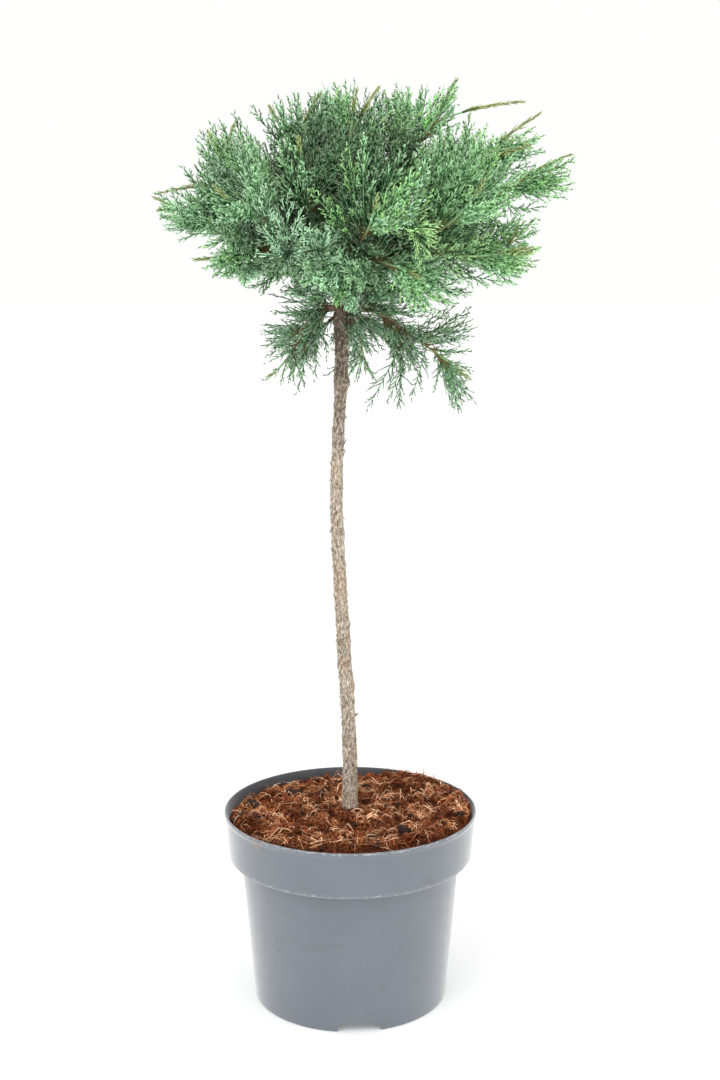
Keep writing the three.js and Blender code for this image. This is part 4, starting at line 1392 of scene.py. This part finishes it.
class JUNIPER_OT_pot(Operator):
    """The moulded pot: a rounded profile turned about the vertical axis, with gaps lifted into its foot
    ring and drain holes through the roof of its channel"""

    bl_idname = "juniper.pot"
    bl_label = "Pot"

    def execute(self, context):
        values = context.scene.juniper_pot
        profile, runs = drain_rows(rounded(pot_profile(), values.rounding / MM))
        rows = profile[1:-1]
        outer = np.arange(len(rows)) <= np.argmax(rows[:, 1])
        rings = self.lifted(rows, outer[:, None])
        runs = [(near - 1, far - 1) for near, far in runs]
        for hole in range(DRAIN_HOLES):
            self.round_rim(rings, rows[:, 0], hole, runs)
        points, faces = capped(rings, (0, 0, 0), (0, 0, FLOOR_THICKNESS))
        on_band = bump(rows[:, 1], *BAND_SCUFFS) * (rows[:, 0] > NECK_RADIUS + NECK_DEPTH)
        # Scuffs at the band's foot, and along the rim scuffs with a painted highlight
        edge = np.maximum(on_band, bump(rows[:, 1], *RIM_SCUFFS_AND_HIGHLIGHT)) * outer
        # The inside mask carries the painted shade of the inner wall
        attributes = {
            "edge": np.concatenate([np.repeat(edge, POT_COLUMNS), [0, 0]]),
            "inside": np.concatenate([np.repeat(1.0 - outer, POT_COLUMNS), [0, 1]]),
        }
        part = only_used(points, self.opened(faces, runs), attributes)
        pot = surface("moulded_pot", [part], plastic_material(values))
        seat(pot, ["pot"])
        return {"FINISHED"}

    def lifted(self, rows, outer):
        """The rings of the turned profile, its outer rows squeezed up over the foot ring's gaps: under a
        ceiling, height z becomes gap + z (ceiling - gap) / ceiling."""
        rings = turned(rows[:, :1], round_steps(POT_COLUMNS, 0.5), rows[:, 1:])
        gap = foot_gap_height(rings[..., 0], rings[..., 1])
        wall = rows[:, :1] > CHANNEL_OUTER_RADIUS + FOOT_RING_SLOPE + 0.5
        ceiling = np.where(wall, FOOT_GAP_REACH, CHANNEL_HEIGHT)
        height = rings[..., 2]
        squeezed = gap + height * (ceiling - gap) / ceiling
        in_ring = outer & (rows[:, :1] > CHANNEL_OUTER_RADIUS - 1)
        rings[..., 2] = np.where(in_ring & (height < ceiling), np.maximum(squeezed, height), height)
        return rings

    def hole_columns(self, hole, half):
        """The numbers of the columns up to a half width on both sides of a drain hole's middle."""
        middle = round((hole + 0.5) * POT_COLUMNS / DRAIN_HOLES - 0.5)
        return (middle + np.arange(-half, half + 1)) % POT_COLUMNS

    def round_rim(self, rings, reaches, hole, runs):
        """Moves the grid's points round one drain hole from squares to circles. With a and b a point's place
        as shares of the hole's half width and M the larger, it goes to radius M (a, b) / |(a, b)| up to
        M = 1, and from there ever less of the way, up to M = the blend."""
        columns = self.hole_columns(hole, DRAIN_BLEND_COLUMNS)
        turn = 2 * math.pi * (columns[DRAIN_BLEND_COLUMNS] + 0.5) / POT_COLUMNS
        out, aside = np.array([math.cos(turn), math.sin(turn)]), np.array([-math.sin(turn), math.cos(turn)])
        b = np.arange(-DRAIN_BLEND_COLUMNS, DRAIN_BLEND_COLUMNS + 1) / DRAIN_COLUMNS
        for near, far in runs:
            low, high = min(near, far) - 1, max(near, far) + 1
            a = ((reaches[low : high + 1] - DRAIN_REACH) / DRAIN_RADIUS)[:, None]
            larger = np.maximum(np.abs(a), np.abs(b))
            size = DRAIN_RADIUS * larger / np.maximum(np.hypot(a, b), 1e-9)
            circle = (DRAIN_REACH + a * size)[..., None] * out + (b * size)[..., None] * aside
            weight = np.clip((DRAIN_BLEND - larger) / (DRAIN_BLEND - 1), 0, 1)[..., None]
            block = np.ix_(np.arange(low, high + 1), columns, [0, 1])
            rings[block] = weight * circle + (1 - weight) * rings[block]

    def opened(self, faces, runs):
        """The faces without those inside the drain holes, and with the holes' walls."""
        grid = faces[0].reshape(-1, POT_COLUMNS, 4)
        keep = np.ones(grid.shape[:2], bool)
        walls = []
        for hole in range(DRAIN_HOLES):
            columns = self.hole_columns(hole, DRAIN_COLUMNS)
            rims = []
            for near, far in runs:
                line = np.linspace(near, far, abs(far - near) + 1).astype(int)
                keep[np.ix_(np.arange(min(near, far), max(near, far)), columns[:-1])] = False
                block = line[:, None] * POT_COLUMNS + columns
                rims.append(np.concatenate([block[0], block[1:, -1], block[-1, -2::-1], block[-2:0:-1, 0]]))
            outer, inner = rims
            walls.append(np.stack([outer, np.roll(outer, -1), np.roll(inner, -1), inner], 1))
        return [grid[keep], *walls, *faces[1:]]


def mix_height(x, y):
    """The source's mound and broad lumps: ground - mound s^2 + lump s(1 - s)(sin cos + 0.6 sin), where s is
    the share of the rim's radius."""
    share = np.minimum(1, np.hypot(x, y) / RIM_RADIUS)
    lumps = np.sin(x / 9 + 1.3) * np.cos(y / 11 - 0.4) + 0.6 * np.sin((x + y) / 17 + 2)
    return GROUND - MIX_MOUND * share**2 + MIX_LUMP * lumps * share * (1 - share)


def loose_height(x, y):
    """The mix's real surface: the source's mound, banked up against the rim except where cos(bearing -
    hollow's bearing) is near 1, with smaller lumps and crumbs of a few sizes."""
    points = np.stack([x, y, 0 * x], -1)
    crumbs = sum(rise * ripples(points, size, seed) for rise, size, seed in MIX_CRUMBS)
    reach = np.hypot(x, y)
    toward = np.cos(np.arctan2(y, x) - math.radians(MIX_HOLLOW_AT))
    bank = MIX_BANK * smoothstep(reach, 45, MIX_EDGE_RADIUS - 4) * (1 - smoothstep(toward, 0.3, 0.75))
    return mix_height(x, y) + bank + crumbs


class JUNIPER_OT_mix(Operator):
    """The potting mix: a lumpy surface, loose coir fibres and bark chunks"""

    bl_idname = "juniper.potting_mix"
    bl_label = "Potting mix"

    def execute(self, context):
        values = context.scene.juniper_mix
        random = np.random.default_rng(MIX_SEED)
        below = np.array(MIX_BELOW)
        shares = np.linspace(1, 0.012, MIX_ROWS) ** 0.8
        reach = np.concatenate([below[:, 0], MIX_EDGE_RADIUS * shares])[:, None]
        height = np.concatenate([below[:, 1], np.zeros(len(shares))])[:, None]
        rings = turned(reach, round_steps(MIX_COLUMNS), height)
        top = rings[len(below):]
        edge = smoothstep(reach[len(below):], MIX_EDGE_RADIUS - 5, MIX_EDGE_RADIUS)
        top[..., 2] = loose_height(top[..., 0], top[..., 1]) - MIX_EDGE_DIP * edge
        summit = float(loose_height(np.zeros(1), np.zeros(1))[0])
        points, faces = capped(rings, (0, 0, MIX_FLOOR), (0, 0, summit))
        bed = surface("mix_bed", [(points, faces, {})], mix_material(values))
        seat(bed, ["potting_mix"])
        strands = [self.fibres(values, random), self.over_rim(values, random)]
        fibres = surface("coir_fibres", strands, fibre_material())
        seat(fibres, ["potting_mix"])
        chunks = surface("bark_chunks", [self.chunks(values, random)], chunk_material())
        seat(chunks, ["potting_mix"])
        return {"FINISHED"}

    def fibres(self, values, random):
        """Curved three-sided strands on the mix: start + heading s, bent aside and arched by s(1 - s)."""
        count = values.fibres
        middle = np.stack(scattered(count, MIX_EDGE_RADIUS - 3, random), 1)
        heading = random.uniform(0, 2 * math.pi, count)
        length = random.gamma(3.0, 2.6, count) + 3
        shares = np.linspace(0, 1, 4)[None, :, None]
        way = np.stack([np.cos(heading), np.sin(heading)], 1)[:, None]
        side = np.stack([-np.sin(heading), np.cos(heading)], 1)[:, None]
        bend = random.normal(0, 0.55, count)[:, None, None]
        course = (shares - 0.5) * way + bend * shares * (1 - shares) * side
        flat = middle[:, None] + length[:, None, None] * course
        away = np.linalg.norm(flat, axis=-1, keepdims=True)
        flat = flat * np.minimum(1, (MIX_EDGE_RADIUS - 1) / away)
        lift = random.gamma(1.6, 0.9, count)[:, None]
        tilt = random.normal(0, 0.16, count)[:, None] * length[:, None]
        share = shares[..., 0]
        ends = 4 * share * (1 - share)
        ground = loose_height(flat[..., 0], flat[..., 1])
        height = ground + lift * (0.25 + ends) + np.abs(tilt) * np.abs(share - 0.3) - 0.3
        lines = np.concatenate([flat, height[..., None]], 2)
        radius = values.thickness / MM / 2 * random.uniform(0.55, 1.25, count)
        radii = radius[:, None] * np.array([0.8, 1, 0.9])
        flat_middle = np.stack([*middle.T, np.zeros(count)], 1)
        clump = sum(share * ripples(flat_middle, size, 41) for size, share in MIX_CLUMPS)
        chance = random.random(count) + clump
        colours = np.array([tuple(values.coir)] * count)
        colours[chance < 0.34] = tuple(values.rust_fibre)
        colours[chance > 0.8] = tuple(values.pale_fibre)
        # Painted shade: fibres lying low on the mix are darker and redder, raised ones lighter
        raised = smoothstep(lift[:, 0] + 0.25 * np.abs(tilt[:, 0]), 0.7, 3.2)
        shade = (0.12 + 1.44 * raised) * (1 + 1.4 * clump)
        colours *= random.uniform(0.7, 1.3, (count, 1)) * shade[:, None]
        colours *= 1 - (1 - raised)[:, None] * (1 - np.array(LOW_FIBRE_PAINTED_SHADE))
        return tubes(lines, radii, 3, {"fibre_colour": colours})

    def over_rim(self, values, random):
        """A few pale fibres that lie over the rim and hang outside it, along the rim path."""
        path = np.array(RIM_PATH)
        count = RIM_FIBRES
        drop = random.uniform(0.2, 1.6, (count, 1)) * np.array(RIM_PATH_DROP)
        bearing = RIM_FIBRES_AT + random.uniform(-4, 4, (count, 1))
        turn = np.radians(bearing + random.normal(0, 1.3, (count, len(path))))
        reach = path[:, 0] + random.uniform(0, 0.5, (count, 1))
        lines = turned(reach, turn, path[:, 1] - 6 * drop / 1.6)
        colours = np.array([tuple(values.pale_fibre)] * count) * random.uniform(0.8, 1.15, (count, 1))
        radii = np.full((count, len(path) - 1), RIM_FIBRE_RADIUS)
        return tubes(lines, radii, 4, {"fibre_colour": colours})

    def chunks(self, values, random):
        """Lumps of bark, half sunk in the mix: squashed balls whose radius is roughened by ripples."""
        count = values.chunks
        x, y = scattered(count, MIX_EDGE_RADIUS - 6, random)
        size = 0.9 + random.gamma(1.5, 0.75, count)
        big = len(BIG_CHUNKS)
        x[:big], y[:big], size[:big] = np.array(BIG_CHUNKS).T
        rows, columns = 6, 9
        fall = (np.pi * np.arange(1, rows) / rows)[:, None]
        ball = turned(np.sin(fall), round_steps(columns), np.cos(fall))[::-1]
        unit_points, unit_faces = capped(ball, (0, 0, -1), (0, 0, 1))
        stretch = random.uniform(0.6, 1.3, (count, 1, 3)) * np.array([1, 1, 0.62])
        heading = random.uniform(0, 2 * math.pi, count)[:, None]
        local = unit_points[None] * stretch * size[:, None, None]
        centre = np.stack([x, y, loose_height(x, y) + 0.15 * size], 1)
        turned_x = local[..., 0] * np.cos(heading) - local[..., 1] * np.sin(heading)
        turned_y = local[..., 0] * np.sin(heading) + local[..., 1] * np.cos(heading)
        local = np.stack([turned_x, turned_y, local[..., 2]], -1)
        points = centre[:, None] + local * (1 + 0.32 * ripples(centre[:, None] + local, 5, 9))[..., None]
        faces = repeated(unit_faces, count, len(unit_points))
        colours = np.array([tuple(values.chunk)] * count)
        lighter = random.random(count) > 0.45
        lighter[:big] = False
        colours[lighter] = tuple(values.rust_fibre)
        colours *= random.uniform(0.7, 1.3, (count, 1))
        return points.reshape(-1, 3), faces, {"fibre_colour": np.repeat(colours, len(unit_points), 0)}


class JUNIPER_OT_trunk(Operator):
    """The trunk: a tube round its centre line with plates, fissures and knots, and loose curling flakes"""

    bl_idname = "juniper.trunk"
    bl_label = "Trunk"

    def execute(self, context):
        values = context.scene.juniper_bark
        shares = np.linspace(0, 1, TRUNK_ROWS)
        line = trunk_line(shares)
        side, other = (sides[0][:, None] for sides in side_frames(line[None]))
        angle = round_steps(TRUNK_COLUMNS)[:, None]
        outwards = np.cos(angle) * side + np.sin(angle) * other
        radius = trunk_radius(line[:, 2])[:, None]
        skin = line[:, None] + radius[..., None] * outwards
        plates = sum(rise * ripples(skin, size, seed) for rise, size, seed in BARK_PLATES)
        plate = smoothstep(plates, -0.45, 0.5)
        fine = 0.45 * ripples(skin, (1.3, 1.3, 2.2), 23)
        rough = 1 + 0.8 * smoothstep(skin[..., 2], *ROUGH_BARK)
        broad = 0.3 * ripples(skin, (14, 14, 42), 24)
        radius = radius + rough * values.relief / MM * (plate - 0.75 + fine) + broad + self.knots(skin)
        rings = line[:, None] + radius[..., None] * outwards
        foot = rings[..., 2] < GROUND - TRUNK_SINK + 1
        rings[..., 2] = np.where(foot & (shares[:, None] < 0.01), GROUND - TRUNK_SINK, rings[..., 2])
        points, faces = capped(rings, line[0], line[-1] + (0, 0, TRUNK_CAP))
        bark = (points, faces, {"plate": np.concatenate([plate.ravel(), [0, 0]])})
        trunk = surface("trunk_bark", [bark, self.flakes(values)], bark_material(values))
        seat(trunk, ["trunk"])
        return {"FINISHED"}

    def knots(self, skin):
        """How far the small knots rise at each point of the skin: rise exp(-(distance / size)^2) each."""
        total = np.zeros(skin.shape[:2])
        for height, bearing, size, rise in SMALL_KNOTS:
            spot = trunk_centre(height) + trunk_radius(height) * around(bearing, 1, 0)
            total += rise * np.exp(-((np.linalg.norm(skin - spot, axis=-1) / size) ** 2))
        return total

    def flakes(self, values):
        """Small flat strips that leave the trunk's skin at one end and curl outwards: skin point + length
        (s along the trunk + lift s^2 outwards)."""
        random = np.random.default_rng(FLAKE_SEED)
        count = values.flakes
        height = random.uniform(GROUND + 4, 640, count)
        bearing = random.uniform(0, 2 * math.pi, count)
        out = turned(1, bearing, 0)
        centre = trunk_line((height - GROUND + TRUNK_SINK) / (TRUNK_TOP - GROUND + TRUNK_SINK))
        height = centre[:, 2]
        base = centre + trunk_radius(height)[:, None] * out
        length = random.uniform(2.5, 7.5, count)[:, None, None]
        aside = np.cross(out, np.array([0, 0, 1.0]))
        way = random.choice([-1.0, 1.0], count)[:, None] * np.array([0, 0, 1.0])
        way = unit(way + random.normal(0, 0.35, (count, 1)) * aside)
        lift = random.uniform(0.05, 0.5, count)[:, None, None]
        share = np.linspace(0, 1, 5)[None, :, None]
        curl = share * way[:, None] + lift * share**2 * out[:, None]
        lines = base[:, None] - 0.3 * out[:, None] + length * curl
        radii = random.uniform(0.5, 1.5, count)[:, None] * np.array([0.6, 1, 0.95, 0.7])
        shade = random.uniform(0.1, 1.1, count)
        side, other = side_frames(lines)
        facing = np.arctan2(-(side * out[:, None]).sum(-1), (other * out[:, None]).sum(-1))[..., None]
        return tubes(lines, radii, 6, {"plate": shade}, flat=0.22, turn=facing)


class JUNIPER_OT_boughs(Operator):
    """The main boughs: tubes along the source's curves with rough bark"""

    bl_idname = "juniper.boughs"
    bl_label = "Boughs"

    def execute(self, context):
        values = context.scene.juniper_bark
        parts = []
        for number, name in enumerate(BOUGHS):
            shares = np.linspace(0, 1, BOUGH_ROWS)
            line = along_curve(bough_curve(name), shares)[None]
            wander = [ripples(line, 22, 50 + number), ripples(line, 22, 70 + number), 0 * line[..., 0]]
            line = line + 0.5 * np.stack(wander, -1)
            radii = bough_radius(name, shares[:-1])[None] * (1 + 0.1 * ripples(line[:, :-1], 7, 90 + number))
            points, faces, attributes = tubes(line, radii, BOUGH_SIDES)
            outwards = unit(points - np.repeat(line[0], BOUGH_SIDES, 0)[: len(points)])
            rough = ripples(points, (2.4, 2.4, 5), 110 + number)[:, None]
            parts.append((points + 0.28 * outwards * rough, faces, attributes))
        boughs = surface("bough_bark", parts, young_bark_material(values))
        seat(boughs, ["bough_" + name for name in BOUGHS])
        return {"FINISHED"}


class JUNIPER_OT_twigs(Operator):
    """The stems of the masses, the bare twigs on them and the axes of the sprays"""

    bl_idname = "juniper.twigs"
    bl_label = "Twigs"

    def execute(self, context):
        bark = context.scene.juniper_bark
        grown = crown()
        parts = []
        for number, (name, stem) in enumerate(grown.stems.items()):
            parts.append(self.stem(*stem, STEM_SEED + number))
            parts.append(self.spray_axes(grown.axes[name], grown.sprays[name]))
        stalks = np.array([shoot_curve(*row) for row in LONG_SHOOTS])
        steps = np.broadcast_to(np.linspace(0, SHOOT_STALK + 0.1, AXIS_ROWS), (len(stalks), AXIS_ROWS))
        radii = np.broadcast_to(np.linspace(*STALK_RADII, AXIS_ROWS - 1), (len(stalks), AXIS_ROWS - 1))
        parts.append(tubes(along_curve(stalks, steps), radii, 6, along={"greening": 0.3 + steps}))
        twigs = surface("twigs", parts, twig_material(context.scene.juniper_sprays, tuple(bark.young)))
        seat(twigs, ["foliage_" + name for name in MASSES])
        return {"FINISHED"}

    def stem(self, curve, woody, foot, seed):
        """One stem: it thins fast from its foot, then its green end thins in a straight line to its tip."""
        shares = np.linspace(0, 1, STEM_ROWS)
        line = along_curve(curve, shares)[None]
        wood = WOOD_RADIUS + (foot - WOOD_RADIUS) * np.exp(-shares / WOOD_THINNING)
        green = WOOD_RADIUS + (STEM_TIP_RADIUS - WOOD_RADIUS) * (shares - woody) / (1 - woody)
        radii = np.where(shares < woody, wood, green)[None, :-1]
        radii = radii * (1 + 0.09 * ripples(line[:, :-1], 5, seed))
        greening = np.minimum(1, np.where(shares < woody, 0.9 * shares, 0.9 + shares - woody))
        return tubes(line, radii, 8, along={"greening": greening[None]})

    def spray_axes(self, axes, sprays):
        """One mass's bare twigs and the axes of its sprays, greener towards tips and the crown's outside."""
        bare = sprays[:, BARE] / (sprays[:, BARE] + sprays[:, LEAFY])
        steps = np.broadcast_to(np.linspace(0, 1, AXIS_ROWS), (len(axes), AXIS_ROWS))
        radii = AXIS_RADII[0] + (AXIS_RADII[1] - AXIS_RADII[0]) * steps[:, :-1]
        outside = 0.34 * smoothstep(np.linalg.norm(sprays[:, 0:2], axis=1), 40, 110)[:, None]
        leafy = 0.35 + 2 * (steps - bare) / (1 - bare)
        greening = np.minimum(1, np.where(steps < bare, 0.35 * steps / bare, leafy) + outside)
        return tubes(along_curve(axes, steps), radii, 3, along={"greening": greening})


class JUNIPER_OT_sprays(Operator):
    """The feathery sprays of scaly shoots, and the long new shoots"""

    bl_idname = "juniper.sprays"
    bl_label = "Sprays"

    def execute(self, context):
        values = context.scene.juniper_sprays
        grown = crown()
        radius = values.thickness / MM / WIDTH_IN_RADII
        colours = {
            key: np.array(getattr(values, key))
            for key in ("blue_green", "sea_green", "leaf_green", "fresh", "lime", "deep", "olive")
        }
        material = spray_material()
        for piece, names in SPRAY_PIECES.items():
            parts = []
            for name in names:
                parts.extend(self.mass(name, grown, radius, colours))
            for number, (mass, *place) in enumerate(LONG_SHOOTS):
                if mass in names:
                    random = np.random.default_rng(LONG_SHOOT_SEED + number)
                    curve = shoot_curve(mass, *place)
                    parts.extend(self.long_shoot(curve, SHOOT_STALK, radius, colours["olive"], random))
            sprays = surface(piece, parts, material)
            seat(sprays, ["foliage_" + name for name in names])
        return {"FINISHED"}

    def mass(self, name, grown, radius, colours):
        """Branchlets and side shoots on one mass's spray axes, and the new shoot that ends its stem."""
        index = list(MASSES).index(name)
        _, _, _, reach, *_ = MASSES[name]
        lowest = LOWEST.get(name)
        random = np.random.default_rng(MASS_SEED + index)
        sprays = grown.sprays[name]
        axes = grown.axes[name]
        bare, leafy = sprays[:, BARE].ravel(), sprays[:, LEAFY].ravel()
        first = BARE_SHARE * bare / (bare + leafy)
        dealt = deal_colours(axes[:, 1], colours, random)
        single = [plume for plume in PLUMES if plume[0] == name]
        if single:
            dealt[-len(single) :] = [colours[plume[-1]] for plume in single]
        length = (bare + leafy) * (1 - first)
        curves, reaches, owner = branchlets(axes, first, length, sprays[:, ACROSS], random)
        free = in_crown(curves[:, 2], lowest, reach) | (owner >= len(axes) - len(single))
        free &= clear_of_limbs(curves[:, 2], grown.limbs)
        curves, reaches, owner = curves[free], reaches[free], owner[free]
        onward = tangent_on(axes[owner], np.full(len(owner), 0.7))
        shoots, parent = side_shoots(curves, reaches, onward, random)
        free = in_crown(shoots[:, 2], lowest, reach) | (owner[parent] >= len(axes) - len(single))
        if lowest:
            # Painted shade: the sprays that hang under the crown are darker
            dealt = dealt * np.array(HANGING_SHADE)
            free &= random.random(len(free)) < HANGING_SHOOTS
            radius = radius * HANGING_THICKNESS
        shoots, parent = shoots[free], parent[free]
        tinted = dealt[owner] * random.uniform(*BRANCHLET_SHADES, (len(owner), 1))
        curve, woody, _ = grown.stems[name]
        leader = self.long_shoot(curve, woody, radius, colours["olive"], random)
        return [
            scaly(curves, BRANCHLET_ROWS, radius, BRANCHLET_GIRTHS, tinted),
            spindles(shoots, radius * SHOOT_GIRTH, tinted[parent]),
            *leader,
        ]

    def long_shoot(self, curve, start, radius, colour, random):
        """A new shoot: a bumpy core that thins to its tip, with short shoots pressed to it all round."""
        step = np.linspace(0, 1, LEADER_ROWS)[None]
        lines = along_curve(curve[None], start + (1 - start) * step)
        radii = (1.35 - 0.85 * step + 0.18 * np.sin(step * 70)) * radius * 1.1
        length = np.linalg.norm(lines[0, -1] - lines[0, 0])
        count = int(length / LEADER_SPACING)
        place = start + (1 - start) * (np.arange(count) + 0.4) / count * 0.97
        base = along_curve(curve, place)
        along = tangent_on(curve, place)
        turn = np.radians(GOLDEN_TURN) * np.arange(count)[:, None]
        side, other = sides_of(along)
        side = np.cos(turn) * side + np.sin(turn) * other
        angle = np.radians(random.uniform(*LEADER_ANGLES, (count, 1)))
        share = (place - start) / (1 - start)
        size = ((10 * (1 - share) ** 0.6 + 2.5) * random.uniform(0.6, 1.15, count))[:, None]
        way = np.cos(angle) * along + np.sin(angle) * side
        curves = np.stack([base, base + 0.5 * size * way, base + size * unit(way + 0.5 * along)], 1)
        core = tubes(lines, radii[:, :-1], 6, {"spray_colour": colour[None]}, {"tip": step})
        colours = np.repeat(colour[None], count, 0)
        return [core, scaly(curves, LEADER_SHOOT_ROWS, radius, LEADER_SHOOT_GIRTHS, colours)]


class JUNIPER_PT_panel(Panel):
    """The plant's pieces with the sizes and colours that each one has"""

    bl_label = "Potted juniper"
    bl_idname = "JUNIPER_PT_panel"
    bl_space_type = "VIEW_3D"
    bl_region_type = "UI"
    bl_category = "Juniper"

    def draw(self, context):
        for operators, group in PIECES:
            box = self.layout.box()
            for operator in operators:
                box.operator(operator.bl_idname)
            values = getattr(context.scene, group)
            for key in values.bl_rna.properties.keys():
                if key not in ("rna_type", "name"):
                    box.prop(values, key)


# Operators in the order in which they run, with the values that each reads
PIECES = (
    ((JUNIPER_OT_studio,), "juniper_studio"),
    ((JUNIPER_OT_pot,), "juniper_pot"),
    ((JUNIPER_OT_mix,), "juniper_mix"),
    ((JUNIPER_OT_trunk, JUNIPER_OT_boughs), "juniper_bark"),
    ((JUNIPER_OT_twigs, JUNIPER_OT_sprays), "juniper_sprays"),
)
GROUPS = {
    "juniper_studio": JUNIPER_PG_studio,
    "juniper_pot": JUNIPER_PG_pot,
    "juniper_mix": JUNIPER_PG_mix,
    "juniper_bark": JUNIPER_PG_bark,
    "juniper_sprays": JUNIPER_PG_sprays,
}


def register():
    for name, group in GROUPS.items():
        bpy.utils.register_class(group)
        setattr(bpy.types.Scene, name, PointerProperty(type=group))
    for operators, _ in PIECES:
        for operator in operators:
            bpy.utils.register_class(operator)
    bpy.utils.register_class(JUNIPER_PT_panel)


def unregister():
    bpy.utils.unregister_class(JUNIPER_PT_panel)
    for operators, _ in reversed(PIECES):
        for operator in reversed(operators):
            bpy.utils.unregister_class(operator)
    for name, group in reversed(GROUPS.items()):
        delattr(bpy.types.Scene, name)
        bpy.utils.unregister_class(group)


def main():
    """Makes every piece in order."""
    register()
    bpy.ops.juniper.studio()
    bpy.ops.juniper.pot()
    bpy.ops.juniper.potting_mix()
    bpy.ops.juniper.trunk()
    bpy.ops.juniper.boughs()
    bpy.ops.juniper.twigs()
    bpy.ops.juniper.sprays()


if __name__ == "__main__":
    main()
